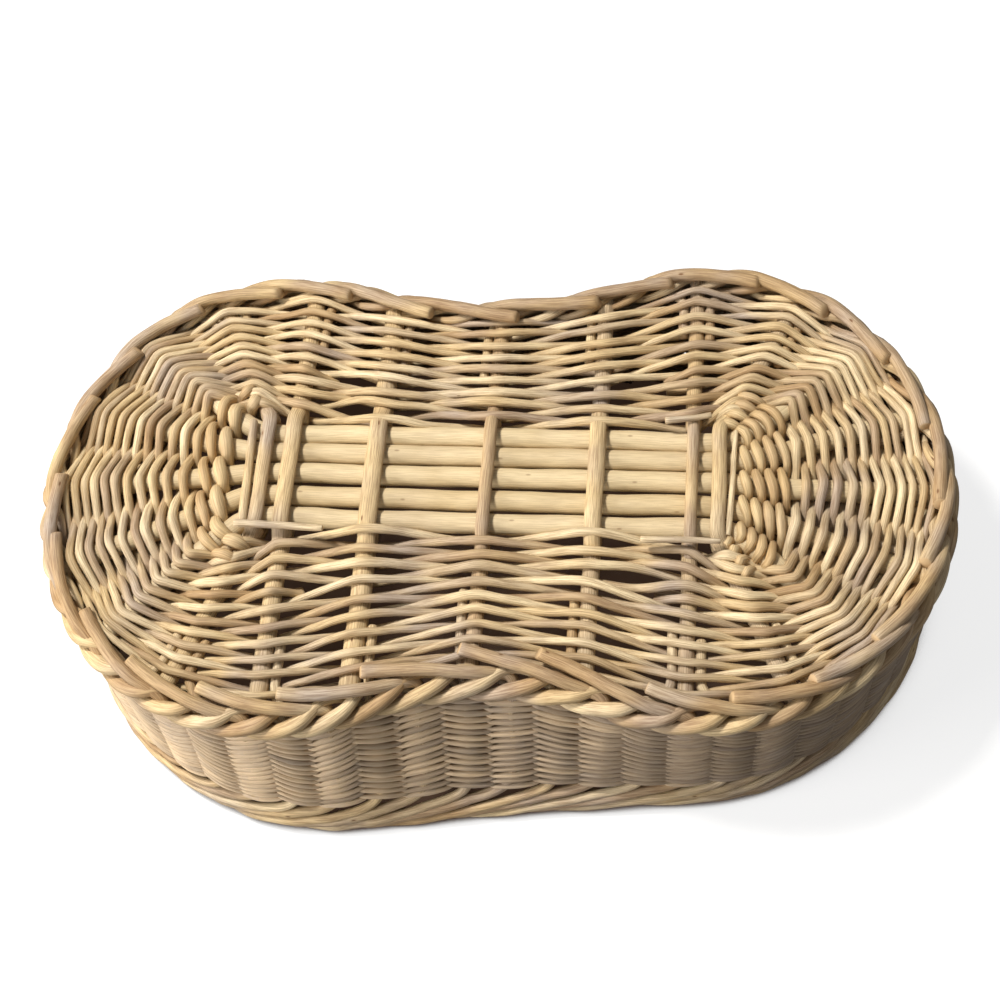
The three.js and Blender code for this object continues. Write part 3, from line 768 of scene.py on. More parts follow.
def swelling(path, radius, rng, share=0.03, taper=0.0):
    """A radius that falls evenly from butt to tip and swells a little on the way."""
    travelled = path_length(path)
    along = travelled / travelled[-1] - 0.5
    return radius * (1 - taper * along + share * waves(travelled, SWELL_LENGTH, rng)[:, 0])


for number in range(LONG_COUNT):
    right_ray = right_fan[number + 1]
    left_ray = left_fan[FAN_COUNT - 2 - number]
    drift = np.array([0.0, LONG_DRIFT[number]])
    middle_y = right_ray["start"][1]
    spine = [left_ray["end"]]
    spine += [left_ray["start"] + left_ray["direction"] * reach for reach in FAN_BENDS[::-1]]
    spine += [np.array([x, middle_y]) + drift for x in np.linspace(left_bow_x, right_bow_x, SLATH_POINTS)]
    spine += [right_ray["start"] + right_ray["direction"] * reach for reach in FAN_BENDS]
    spine += [right_ray["end"]]
    path = natural(base_path(spine), stick_rng, LONG_SWAY)
    taper = stick_rng.uniform(-LONG_TAPER, LONG_TAPER)
    girth = swelling(path, LONG_WIDTH / 2, stick_rng, LONG_SWELL, taper)
    flat = 2 * LONG_RADIUS / LONG_WIDTH
    body = rod(path, girth, UP, stick_rng.uniform(*LONG_TONES), sides=STICK_SIDES, flat=flat)
    name = f"long_stick_{number + 1}"
    make_piece(f"slath_{name}", [body], pale_willow, [name])

# %% Split sticks and bow sticks
SLIT_HALF = LONG_RADIUS + 0.2 * MM
STICK_FLAT = 0.82
STICK_SWAY = 0.2 * MM
STICK_SWELL = 0.02
STICK_GAP = 1.5 * MM
HALF_SWAY = 0.12 * MM
HALF_STEPS = 10
HALF_LEADS = (10 * MM, 5 * MM)
HALF_RISE = np.array([0.2, 0.5, 1, 1, 1, 1, 1, 0.5, 0.2])
HALF_TONE = 0.03
BOW_TONES = (0.4, 0.7)


def split_stick(points, radius, width, tone):
    """A stick with a slit: a round rod from each end to the slit, and two half rods whose thin
    ends lie inside the round ones."""
    near_end, near_slot, far_slot, far_end = points
    half_height = (PRONG_HEIGHT - SLIT_HALF) / 2
    middle_height = SLIT_HALF + half_height
    parts = []
    for end, slot in ((near_end, near_slot), (far_end, far_slot)):
        inward = unit(slot - end)
        spine = np.array([end, end + (slot - end) / 2, slot - inward * STICK_GAP])
        path = natural(base_path(spine), stick_rng, STICK_SWAY)
        girth = swelling(path, radius, stick_rng, STICK_SWELL)
        parts.append(rod(path, girth, UP, tone, sides=STICK_SIDES, flat=STICK_FLAT))
    for sign in (1, -1):
        near_in = unit(near_end - near_slot)
        far_in = unit(far_end - far_slot)
        plan = [near_slot + near_in * lead for lead in HALF_LEADS]
        plan += [near_slot + (far_slot - near_slot) * share for share in (0, 0.25, 0.5, 0.75, 1)]
        plan += [far_slot + far_in * lead for lead in HALF_LEADS[::-1]]
        path = base_path(plan, HALF_RISE * middle_height * sign, HALF_STEPS)
        path = natural(path, stick_rng, HALF_SWAY)
        half_width = swelling(path, width / 2, stick_rng, STICK_SWELL)
        flat = 2 * half_height / width
        parts.append(rod(path, half_width, UP, tone + HALF_TONE * sign, sides=STICK_SIDES, flat=flat))
    return parts


for number in range(len(CROSS_X)):
    near, far = near_side[number], far_side[number]
    points = [near["end"], near["start"], far["start"], far["end"]]
    parts = split_stick(points, CROSS_RADII[number], CROSS_WIDTHS[number], CROSS_TONES[number])
    name = f"cross_stick_{number + 1}"
    make_piece(f"split_{name}", parts, straw_willow, [name])
for side_name, fan in (("right", right_fan), ("left", left_fan)):
    arms = sorted([fan[0], fan[-1]], key=lambda ray: ray["end"][1])
    points = [arms[0]["end"], arms[0]["start"], arms[1]["start"], arms[1]["end"]]
    parts = split_stick(points, BOW_RADIUS, BOW_WIDTH, stick_rng.uniform(*BOW_TONES))
    name = f"bow_stick_{side_name}"
    make_piece(f"split_{name}", parts, straw_willow, [name])

# %% Thin rods beside the slath
BESIDE_LEAN = 2.5 * MM
BESIDE_SHORT = 1 * MM
TIE_RADIUS = 1.35 * MM
TIE_LIFT = 0.3 * MM
TIE_TONE = 0.1
THIN_SWAY = 0.3 * MM
THIN_SWELL = 0.05
THIN_TAPER = 0.2


def straight_rod(start, end, height, radius, tone):
    """A nearly straight rod between two plan points, some way above the base plane."""
    spine = np.array([start, (start + end) / 2, end])
    path = natural(base_path(spine, height), stick_rng, THIN_SWAY)
    return rod(path, swelling(path, radius, stick_rng, THIN_SWELL, THIN_TAPER), UP, tone)


def thin_beside(bow_x, side, radius, away, tone):
    """A thin stick that lies on the long sticks beside a bow stick, leaning a little."""
    x = bow_x + side * (BOW_WIDTH / 2 + away)
    near = np.array([x - side * BESIDE_LEAN, SLATH_CENTRE - SLOT_HALF - BESIDE_SHORT])
    far = np.array([x, SLATH_CENTRE + SLOT_HALF - BESIDE_SHORT])
    return straight_rod(near, far, LONG_RADIUS + radius, radius, tone)


def tie(start_x, end_x, start_y, end_y, radius):
    """A thin rod laid over the weave beside the slath, from one plan point to another."""
    start = np.array([start_x, start_y])
    end = np.array([end_x, end_y])
    return straight_rod(start, end, PRONG_HEIGHT + radius + TIE_LIFT, radius, TIE_TONE)


beside = [
    thin_beside(right_bow_x, 1, radius=1.3 * MM, away=3.6 * MM, tone=0.0),
    thin_beside(left_bow_x, -1, radius=2.0 * MM, away=4.4 * MM, tone=0.5),
]
slath_far = SLATH_CENTRE + SLOT_HALF
slath_near = SLATH_CENTRE - SLOT_HALF
last_x, first_x = CROSS_X[-1], CROSS_X[0]
ties = [
    tie(last_x - 12 * MM, right_bow_x - 4 * MM, slath_far + 1 * MM, slath_far + 4.5 * MM, TIE_RADIUS),
    tie(last_x - 20 * MM, right_bow_x + 1 * MM, slath_near - 6 * MM, slath_near - 5.5 * MM, TIE_RADIUS),
    tie(left_bow_x - 7 * MM, first_x + 20 * MM, slath_near - 4 * MM, slath_near - 5 * MM, 1.2 * TIE_RADIUS),
]
make_piece("thin_sticks_beside", beside, straw_willow)
make_piece("thin_ties", ties, straw_willow)

# %% [markdown]
# ## The weave of the base
# A weaver passes over one stick and under the next, and its neighbour does the opposite. In plan
# each stretch between two sticks is nearly straight, and in height it is half a wave of a cosine,
# highest on the stick that it passes over. The lobes are deeper than the waist, so short rows that
# only go round a lobe are packed between the full rows, as a maker does.

# %% Where each row passes each ray
FULL, FAN, PACK = "full", "fan", "pack"
ROW_ORDER = [FAN] * 2 + [FULL] * 6 + [PACK] * 2 + [FULL] * 12
WEAVER_RADIUS = 1.87 * MM
THICK_INSIDE = 0.22
CROWDING = {"cross": 0.0, "bow": 0.1, "long": 0.28}
UNEVEN = 0.16
MOST_UNEVEN = 0.35
BESIDE_SLIT = 0.6
SETTLED = 0.95
right_rays = list(range(FAN_COUNT))
left_rays = [FAN_COUNT + len(CROSS_X) + index for index in right_rays]
weave_rng = np.random.default_rng(23)
unevenness = weave_rng.normal(0, UNEVEN, (len(ROW_ORDER), RAY_COUNT)).clip(-MOST_UNEVEN, MOST_UNEVEN)


def rays_of(kind, lobe_side):
    """The rays that a row passes, in order: all of them, a lobe's fan, or the fan and the sticks
    just before and after it."""
    if kind == FULL:
        return list(range(RAY_COUNT))
    fan = right_rays if lobe_side == "right" else left_rays
    if kind == FAN:
        return fan
    return [(fan[0] - 1) % RAY_COUNT] + fan + [(fan[-1] + 1) % RAY_COUNT]


def rows_on_ray(ray_index):
    """The rows of the order that pass this ray."""
    found = []
    for row, kind in enumerate(ROW_ORDER):
        lobes = ["right", "left"] if kind != FULL else ["right"]
        if any(ray_index in rays_of(kind, lobe) for lobe in lobes):
            found.append(row)
    return found


def stick_rise(ray, distance):
    """Half the height of a stick where a row passes it: more beside the slit of a split stick."""
    if ray["kind"] == "long":
        return ray["radius"]
    low = STICK_FLAT * ray["radius"]
    swell = 1 - np.clip(distance / PRONG_TAPER, 0, 1)
    return low + swell * (PRONG_HEIGHT - low) * BESIDE_SLIT


def row_radius(row):
    """Thicker rods inside and finer ones outside."""
    return WEAVER_RADIUS * (1 + THICK_INSIDE * (0.5 - row / (len(ROW_ORDER) - 1)))


def row_stop(ray_index, row):
    """Where a row passes a ray: a plan point, and how far it must rise to lie on the stick, a
    little settled into it. The rows lie closer together outside, by share + crowding x share x
    (1 - share)."""
    ray = rays[ray_index]
    present = rows_on_ray(ray_index)
    share = (present.index(row) + 0.5 + unevenness[row, ray_index]) / len(present)
    share = share + CROWDING[ray["kind"]] * share * (1 - share)
    distance = ray["first"] + share * (ray["outer"] - ray["first"])
    plan = ray["start"] + ray["direction"] * distance
    rise = stick_rise(ray, distance) + row_radius(row) * SETTLED
    over = (row + ray_index) % 2 == 0
    return np.array([plan[0], plan[1], rise if over else -rise])


SPAN_STEPS = 16
ROUNDING = np.hanning(6)[1:-1]
ROUNDNESS = 0.45
BELLY = 0.05


def weave_path(stops, closed):
    """The path through the stops: straight in plan, and in height a mix of a straight line and
    half a cosine wave, with the corners in plan rounded by a short moving average. The belly is a
    wave that is 1 at each stick and -1 half way between, where the rods press on each other."""
    following = np.roll(stops, -1, 0)
    if not closed:
        stops, following = stops[:-1], following[:-1]
    u = np.linspace(0, 1, SPAN_STEPS, endpoint=False)[None, :, None]
    plan = stops[:, None, :2] + (following - stops)[:, None, :2] * u
    wave = u * (1 - ROUNDNESS) + (1 - np.cos(np.pi * u)) / 2 * ROUNDNESS
    height = stops[:, None, 2:] + (following - stops)[:, None, 2:] * wave
    path = np.concatenate([plan, height], -1).reshape(-1, 3)
    half = len(ROUNDING) // 2
    padded = np.pad(path, ((half, len(ROUNDING) - 1 - half), (0, 0)), mode="wrap" if closed else "edge")
    for axis in range(3):
        path[:, axis] = np.convolve(padded[:, axis], ROUNDING / ROUNDING.sum(), "valid")
    path[:, 2] += BASE_PLANE
    belly = np.tile(np.cos(2 * np.pi * u[0, :, 0]), len(stops))
    return path, belly


# %% Weave the base
BASE_BANDS = 6
WEAVER_TONES = (-0.1, 1.05)
WEAVER_GIRTHS = (0.94, 1.06)
WEAVER_TAPERS = (0.05, 0.22)
WEAVER_SWELL = 0.04
WEAVER_SWAY = 0.28 * MM
WEAVER_SWAY_LENGTH = 45 * MM
STICKS_APART = (4, 8)
GAP_EDGE = 1 * MM
# In millimetres. A place is measured from the middle between the two lobes.
OPENINGS = [
    {"place": (-62, 38), "width": 16, "depth": 9, "opening": 3.2},
    {"place": (-30, 34), "width": 14, "depth": 8, "opening": 2.6},
    {"place": (66, -38), "width": 15, "depth": 9, "opening": 3.0},
]


def push_apart(path):
    """Opens a lens shaped gap between two rows: each side moves away from the gap's middle line by
    opening x exp(-(x / width)^2) x exp(-|y| / depth)."""
    for gap in OPENINGS:
        offset = path[:, :2] - shift - np.array(gap["place"]) * MM
        across = np.exp(-((offset[:, 0] / (gap["width"] * MM)) ** 2))
        fade = np.exp(-abs(offset[:, 1]) / (gap["depth"] * MM))
        side = np.tanh(offset[:, 1] / GAP_EDGE)
        path[:, 1] += side * across * fade * gap["opening"] * MM
    return path


def weaver(path, belly, radius, rng):
    """One weaver with its own tone, thickness, taper and sway."""
    path = push_apart(natural(path, rng, WEAVER_SWAY, WEAVER_SWAY_LENGTH))
    radius = radius * rng.uniform(*WEAVER_GIRTHS)
    girth = swelling(path, radius, rng, WEAVER_SWELL, rng.uniform(*WEAVER_TAPERS))
    return rod(path, girth * (1 + BELLY * belly), UP, rng.uniform(*WEAVER_TONES))


def tucked(stops):
    """Adds a low stop half a step beyond each end, so that both cut ends lie under the weave."""
    first = stops[0] + 0.5 * (stops[0] - stops[1])
    last = stops[-1] + 0.5 * (stops[-1] - stops[-2])
    first[2] = -abs(stops[0, 2])
    last[2] = -abs(stops[-1, 2])
    return np.vstack([first, stops, last])


LAP = 4
base_rows = [[] for _ in range(BASE_BANDS)]
for row, kind in enumerate(ROW_ORDER):
    band = base_rows[row * BASE_BANDS // len(ROW_ORDER)]
    radius = row_radius(row)
    for lobe_side in ["right", "left"] if kind != FULL else ["right"]:
        stops = np.array([row_stop(index, row) for index in rays_of(kind, lobe_side)])
        if kind != FULL:
            path, belly = weave_path(tucked(stops), False)
            band.append(weaver(path, belly, radius, weave_rng))
            continue
        path, belly = weave_path(stops, True)
        unders = [index for index in range(RAY_COUNT) if (row + index) % 2]
        first = unders[weave_rng.integers(len(unders))]
        second = unders[(unders.index(first) + weave_rng.integers(*STICKS_APART)) % len(unders)]
        split = ((second - first) % RAY_COUNT) * SPAN_STEPS
        path = np.roll(path, -first * SPAN_STEPS, 0)
        path, belly = np.vstack([path, path[: LAP + 1]]), np.append(belly, belly[: LAP + 1])
        band.append(weaver(path[: split + LAP], belly[: split + LAP], radius, weave_rng))
        band.append(weaver(path[split:], belly[split:], radius, weave_rng))

# %% A rod under the right fan, with a deep tone as painted shade, and the pieces of the weave
UNDER_ROD_RADIUS = 2.5 * MM
UNDER_ROD_REACH = 23.5 * MM
# Painted shade: a deeper tone than any weaver, for a rod that lies low under the sticks.
UNDER_ROD_SHADE_TONE = 1.25
UNDER_ROD_DROP = LONG_RADIUS + 0.8 * UNDER_ROD_RADIUS
UNDER_ROD_SWAY = 0.4 * MM
stops = [ray["start"] + ray["direction"] * UNDER_ROD_REACH for ray in right_fan[:-2]]
path = base_path(stops, -UNDER_ROD_DROP)
girth = swelling(path, UNDER_ROD_RADIUS, weave_rng, THIN_SWELL, THIN_TAPER)
base_rows[0].append(rod(natural(path, weave_rng, UNDER_ROD_SWAY), girth, UP, UNDER_ROD_SHADE_TONE))
for band, rods in enumerate(base_rows):
    make_piece(f"base_rows_{band + 1}", rods, straw_willow, [f"base_band_{band + 1}"])

# %% [markdown]
# ## Twining at the ends of the slath
# Where the long sticks leave the slath, two strands are twined round them: while one passes over
# a stick the other passes under it, and between two sticks they change places. Each strand is a
# wave in height, and a smaller wave sideways sets its strokes aslant, like the strands of a rope.

# %% Twining at both ends
TWINES = {
    "right": [
        (4.8 * MM, 2.0 * MM, 1),
        (10.2 * MM, 2.1 * MM, 1),
        (15.6 * MM, 2.1 * MM, 2),
        (20.8 * MM, 1.9 * MM, 2),
    ],
    "left": [(12.6 * MM, 2.9 * MM, 1), (20.0 * MM, 2.2 * MM, 2)],
}
TWINE_SWAY = -1.5 * MM
TWINE_ROOT = 0.45
TWINE_STEPS = 12
TWINE_END = 0.45
TWINE_SINK = 1.7
TWINE_LIFT = 0.7
TWINE_BELLY = 0.14
TWINE_SWELL = 0.05
TWINE_SWELL_LENGTH = 20 * MM
TWINE_DRIFT = 0.25 * MM
TWINE_DRIFT_LENGTH = 30 * MM
TWINE_TONES = (0.0, 0.7)
ARM_PULL = 0.25
twine_rng = np.random.default_rng(37)


def twine(fan, side, reach, radius, strand):
    """One strand across the fan, from beyond one bow arm to beyond the other. Height is a cosine
    of the stick number, flattened at its tops by a root, and the sideways sway is the sine."""
    starts = np.array([ray["start"] + ray["direction"] * reach for ray in fan])
    starts[[0, -1]] += (starts[[1, -2]] - starts[[0, -1]]) * ARM_PULL
    ends = starts[[0, -1]] - TWINE_END * (starts[[1, -2]] - starts[[0, -1]])
    stops = np.vstack([ends[:1], starts, ends[1:]])
    curve = smooth_through(stops, TWINE_STEPS)
    number = np.arange(len(curve)) / TWINE_STEPS
    sign = 1 if strand == 0 else -1
    wave = sign * np.cos(np.pi * number)
    wave = np.sign(wave) * abs(wave) ** TWINE_ROOT
    at_ends = (number < 0.5) | (number > number[-1] - 0.5)
    wave = np.where(at_ends, -TWINE_SINK * abs(wave), wave)
    curve[:, 0] += side * sign * TWINE_SWAY * np.sin(np.pi * number)
    girth = radius * (1 + TWINE_BELLY * np.cos(2 * np.pi * number))
    path, girth = evenly(on_base(curve, (LONG_RADIUS + radius * TWINE_LIFT) * wave), [girth[:, None]])
    return path, girth[:, 0]


for side_name, side, fan in (("right", 1, right_fan), ("left", -1, left_fan)):
    strands = {1: [], 2: []}
    for reach, radius, piece in TWINES[side_name]:
        for strand in range(2):
            path, girth = twine(fan, side, reach, radius, strand)
            path = natural(path, twine_rng, TWINE_DRIFT, TWINE_DRIFT_LENGTH)
            swell = waves(path_length(path), TWINE_SWELL_LENGTH, twine_rng)[:, 0]
            girth = girth * (1 + TWINE_SWELL * swell)
            strands[piece].append(rod(path, girth, UP, twine_rng.uniform(*TWINE_TONES)))
    for number, rods in strands.items():
        name = f"slath_binding_{side_name}_{number}"
        make_piece(f"twining_{side_name}_{number}", rods, tan_willow, [name])

# %% [markdown]
# ## Side stakes and the two borders
# A side stake starts with a cut end on the base, lies along the edge in the foot border, turns
# down over the edge, stands in the wall, and ends in the rolled rim. Thinner stakes are pushed in
# beside the base sticks and stand between the thick ones. Each stake is one path through points
# that are worked out from the outline, so both borders close on themselves all the way round.

# %% Way points of the stakes
STAKE_COUNT = 28
STAKE_RADIUS = 2.75 * MM
WALL_INSET = 6.35 * MM
EDGE_INSET = 1.9 * MM
START_INSET = 5.8 * MM
START_SHARE = 0.3
RISING_SHARE = 0.5
FOOT_SHARES = np.array([1.0, 0.85, 0.7, 0.55, 0.4, 0.27, 0.13, 0.0])
FOOT_CURVE = 1.5
FOOT_RUN = 1.62
FOOT_RUN_SPREAD = (-0.1, 0.14)
FOOT_INSET_SPREAD = (-0.8 * MM, 1.2 * MM)
FOOT_LOW = 79.5 * MM
FOOT_HIGH = 87.1 * MM
STRAIGHTNESS = 0.3
LEG_HEIGHTS = (66 * MM, 50 * MM, 36 * MM, 26 * MM)
LEG_TOP = 72 * MM
LEG_TOP_OUT = 0.6 * MM
RIM_TILTED = 1.2
RIM_RUN_SPREAD = (-0.03, 0.03)
RIM_INSET_SPREAD = (-0.2 * MM, 0.3 * MM)
# The share of an interval travelled, the height and the inset, both in millimetres.
RIM_COURSE = np.array([
    [0.08, 18.2, 6.0],
    [0.28, 14.8, 5.0],
    [0.66, 11.6, 3.8],
    [1.12, 8.6, 2.9],
    [1.65, 5.7, 3.0],
    [2.10, 3.0, 6.0],
    [2.60, 3.2, 10.5],
])
stake_rng = np.random.default_rng(53)


def outward(turn, height):
    """The direction square to the outline, pointing away from the basket."""
    turn = np.atleast_1d(turn).astype(float)
    outer = wall_point(turn, -1 * MM, height)
    return unit(outer - wall_point(turn, 0.0, height))


def rim_run(leg, radius, rng):
    """The rim end of a stake: it drops aslant onto the next ones, sinks to the floor as newer
    stakes come on top, and ends a little further in. The course is for a rod as thick as a stake,
    so a thinner rod lies as much lower and further out as its radius is smaller."""
    share, height, inset = RIM_COURSE.T
    height = height * MM + (radius - STAKE_RADIUS)
    inset = inset * MM + (radius - STAKE_RADIUS) + rng.uniform(*RIM_INSET_SPREAD)
    turn = leg - (share + rng.uniform(*RIM_RUN_SPREAD)) / STAKE_COUNT
    tilt = np.clip(share / RIM_TILTED, 0, 1)[:, None]
    guides = unit(outward(turn, height) * (1 - tilt) + UP * tilt)
    return wall_point(turn, inset, height), guides


def leg_run(leg, inset_top, top):
    """The upright stretch of a stake, from under the foot border to the top of the rim."""
    heights = np.array([top, *LEG_HEIGHTS])
    insets = np.array([inset_top] + [WALL_INSET] * len(LEG_HEIGHTS))
    turns = np.full(len(heights), leg)
    return wall_point(turns, insets, heights), outward(turns, heights)


def foot_run(leg):
    """The cut end of a stake on the base. It starts low and hidden under the stake ahead of it,
    comes out along the edge, rises as a sine, and moves inwards as a power of the share to its
    cut end. In plan it lies between that curve and a straight line."""
    share = FOOT_SHARES
    run = FOOT_RUN + stake_rng.uniform(*FOOT_RUN_SPREAD)
    turn = leg - run * share / STAKE_COUNT
    width = border_inset(turn[0]) + stake_rng.uniform(*FOOT_INSET_SPREAD)
    inset = EDGE_INSET + (width - EDGE_INSET) * share**FOOT_CURVE
    inset = inset + (START_INSET - EDGE_INSET) * np.clip(1 - share / START_SHARE, 0, 1)
    curved = base_point(turn, inset)
    straight = curved[-1] + (curved[0] - curved[-1]) * share[:, None]
    plan = curved + (straight - curved) * STRAIGHTNESS
    rise = np.sin(np.pi / 2 * np.clip(share / RISING_SHARE, 0, 1))
    return np.column_stack([plan, FOOT_LOW + (FOOT_HIGH - FOOT_LOW) * rise])


def stake(number):
    """The whole path of a thick stake, with its guide directions."""
    leg = (number + 0.5) / STAKE_COUNT
    foot = foot_run(leg)
    upright, upright_guides = leg_run(leg, WALL_INSET - LEG_TOP_OUT, LEG_TOP)
    rim, rim_guides = rim_run(leg, STAKE_RADIUS, stake_rng)
    points = np.vstack([foot, upright, rim])
    corner = unit(upright_guides[:1] + UP)
    guides = np.vstack([np.tile(UP, (len(foot) - 1, 1)), corner, upright_guides, rim_guides])
    return points, guides


# %% Make the thick stakes
SOFT_REACH = 6.5 * MM
BENT_SIDES = 12
STAKE_TONES = (0.65, 1.3)
STAKE_GIRTHS = (0.89, 0.97)
STAKE_TAPER = 0.25
STAKE_SWAY = 0.2 * MM
STAKE_SWAY_LENGTH = 40 * MM
BUTT_SLANTS = (0.1, 0.6)


def rod_through(points, guides, radius, tone, slant, sway, taper):
    """A rod along a softened path through way points, with its guide carried along."""
    path, guide = softened(points, guides, SOFT_REACH)
    path = natural(path, stake_rng, sway, STAKE_SWAY_LENGTH)
    girth = swelling(path, radius, stake_rng, taper=taper)
    return rod(path, girth, unit(guide), tone, slants=(slant, 0.0), sides=BENT_SIDES)


for number in range(STAKE_COUNT):
    points, guides = stake(number)
    tone = stake_rng.uniform(*STAKE_TONES)
    slant = stake_rng.uniform(*BUTT_SLANTS)
    radius = STAKE_RADIUS * stake_rng.uniform(*STAKE_GIRTHS)
    body = rod_through(points, guides, radius, tone, slant, STAKE_SWAY, STAKE_TAPER)
    name = f"stake_{number + 1:02d}"
    make_piece(f"willow_{name}", [body], straw_willow, [name])

# %% Make the thin stakes
THIN_RADIUS = 2.1 * MM
THIN_REACH = {"cross": 30 * MM, "bow": 26 * MM, "long": 20 * MM}
THIN_REACH_SPREAD = (0.8, 1.2)
THIN_START = 4 * MM
THIN_TURN = 6 * MM
THIN_POINTS = 4
THIN_GAP = 0.3 * MM
THIN_EDGE = 6.5 * MM
THIN_EDGE_HEIGHTS = np.array([77.0, 73.0]) * MM
THIN_LEG_TOP = 69 * MM
THIN_STAKE_SWAY = 0.15 * MM
THIN_STAKE_TAPER = 0.1
THIN_TONES = (0.1, 1.0)
THIN_PIECES = 4
fine_turns = np.linspace(0, 1, SEARCH_STEPS)
fine_outline = base_point(fine_turns, SOLID_END_INSET)
ray_turns = np.array([
    fine_turns[np.argmin(((fine_outline - ray["end"]) ** 2).sum(1))] for ray in rays
])


def thin_stake(number):
    """A thin stake: beside the nearest base stick, out under the foot border, down the wall and
    into the rim."""
    leg = (number + 1.0) / STAKE_COUNT
    gap = np.mod(leg - ray_turns + 0.5, 1.0) - 0.5
    nearest = int(np.argmin(abs(gap)))
    ray = rays[nearest]
    side = 1 if gap[nearest] >= 0 else -1
    beside = side * (ray["radius"] + THIN_RADIUS + THIN_GAP)
    across = np.array([-ray["direction"][1], ray["direction"][0]]) * beside
    reach = THIN_REACH[ray["kind"]] * stake_rng.uniform(*THIN_REACH_SPREAD)
    marks = np.linspace(max(ray["outer"] - reach, THIN_START), ray["outer"] - THIN_TURN, THIN_POINTS)
    lying = np.array([ray["start"] + ray["direction"] * mark + across for mark in marks])
    edge_turns = np.full(len(THIN_EDGE_HEIGHTS), leg)
    edge = wall_point(edge_turns, THIN_EDGE, THIN_EDGE_HEIGHTS)
    edge_guides = outward(edge_turns, THIN_EDGE_HEIGHTS)
    upright, upright_guides = leg_run(leg, WALL_INSET, THIN_LEG_TOP)
    rim, rim_guides = rim_run(leg, THIN_RADIUS, stake_rng)
    points = np.vstack([on_base(lying), edge, upright, rim])
    guides = np.vstack([np.tile(UP, (len(lying), 1)), edge_guides, upright_guides, rim_guides])
    return points, guides


thin_rods = []
for number in range(STAKE_COUNT):
    points, guides = thin_stake(number)
    tone = stake_rng.uniform(*THIN_TONES)
    thin_rods.append(rod_through(points, guides, THIN_RADIUS, tone, 0.0, THIN_STAKE_SWAY, THIN_STAKE_TAPER))
for group in range(THIN_PIECES):
    first = group * STAKE_COUNT // THIN_PIECES
    rods = thin_rods[first : first + STAKE_COUNT // THIN_PIECES]
    make_piece(f"thin_stakes_{group + 1}", rods, straw_willow)

# %% [markdown]
# ## The wall
# The wall is woven from fine rods, close together: each passes outside every thick stake and
# inside every thin one, and its neighbour does the opposite. The distance from the middle of the
# wall is a cosine of the way round, and a wave in height sets the strokes aslant. Where two rows
# cross they are pressed flat, so the radius is a wave as well.

# %% Weave the wall
WALL_BANDS = 6
WALL_ROWS = 31
WALL_TOP = 75.6 * MM
WALL_BOTTOM = 18.2 * MM
WALL_RADIUS = 1.48 * MM
WALL_DEPTH = 1.9 * MM
WALL_FLATNESS = 3.0
WALL_OVERLAP = 0.3
WALL_BELLY = 0.22
STROKE_SLANT = 4.6 * MM
SLANT_FADE = 0.6
CALM_SHARE = 0.75
CALM_PLACE = 0.79
CALM_REACH = 0.1
ROW_SWAY = 0.35 * MM
ROW_SWAY_CYCLES = 17
ROW_SWELL = 0.05
ROW_SWELL_CYCLES = 40
ROW_TONES = (0.15, 0.7)
ROW_SIDES = 8
wall_rng = np.random.default_rng(71)


def periodic_waves(turn, cycles, rng):
    """Smooth noise that meets itself after a full turn: three sines with whole cycle counts."""
    counts = np.array([cycles, cycles * 2 + 1, cycles * 3 + 2])
    phases = rng.uniform(0, 2 * np.pi, 3)
    return (np.sin(2 * np.pi * turn[:, None] * counts + phases) * WAVE_HEIGHTS).sum(1)


def wall_row(share, parity, rng):
    """A closed row: inset = middle - depth x tanh(flatness x (cos(28 turns) + overlap)). In height a
    zigzag with 28 teeth sets the strokes aslant, up over a thick stake and down over a thin one,
    most of all half way down the wall, and least along the near waist. Rows overlap where they
    pass each other, so no seam opens."""
    count = int(perimeter / RING_SPACING)
    turn = np.arange(count) / count
    phase = 2 * np.pi * STAKE_COUNT * (turn - 0.5 / STAKE_COUNT)
    inset = WALL_INSET - WALL_DEPTH * np.tanh(WALL_FLATNESS * (parity * np.cos(phase) + WALL_OVERLAP))
    height = WALL_TOP - WALL_RADIUS - (WALL_TOP - WALL_BOTTOM - 2 * WALL_RADIUS) * share
    zigzag = np.arcsin(np.sin(phase)) * 2 / np.pi
    calm = CALM_SHARE * np.exp(-(((turn - CALM_PLACE) / CALM_REACH) ** 2))
    slant = STROKE_SLANT * (1 - SLANT_FADE * (2 * share - 1) ** 2) * (1 - calm)
    rise = height + slant * zigzag + ROW_SWAY * periodic_waves(turn, ROW_SWAY_CYCLES, rng)
    swell = ROW_SWELL * periodic_waves(turn, ROW_SWELL_CYCLES, rng)
    girth = WALL_RADIUS * (1 + WALL_BELLY * np.cos(2 * phase) + swell)
    return wall_point(turn, inset, rise), outward(turn, np.full(count, height)), girth


wall_rows = [[] for _ in range(WALL_BANDS)]
for row in range(WALL_ROWS):
    path, guide, girth = wall_row(row / (WALL_ROWS - 1), 1 if row % 2 == 0 else -1, wall_rng)
    body = rod(path, girth, guide, wall_rng.uniform(*ROW_TONES), sides=ROW_SIDES, closed=True)
    wall_rows[row * WALL_BANDS // WALL_ROWS].append(body)
for band, rods in enumerate(wall_rows):
    make_piece(f"wall_rows_{band + 1}", rods, shade_willow, [f"wall_band_{band + 1}"])

# %% [markdown]
# ## The foot wale
# Right under the foot border runs a band of three thick rods, each passing outside two stakes and
# inside the third, so the strokes lie on each other like the strands of a rope. The three rods
# are one path three turns long, cut behind a stake after each turn: every time round, the path is
# a third of a stroke further on.

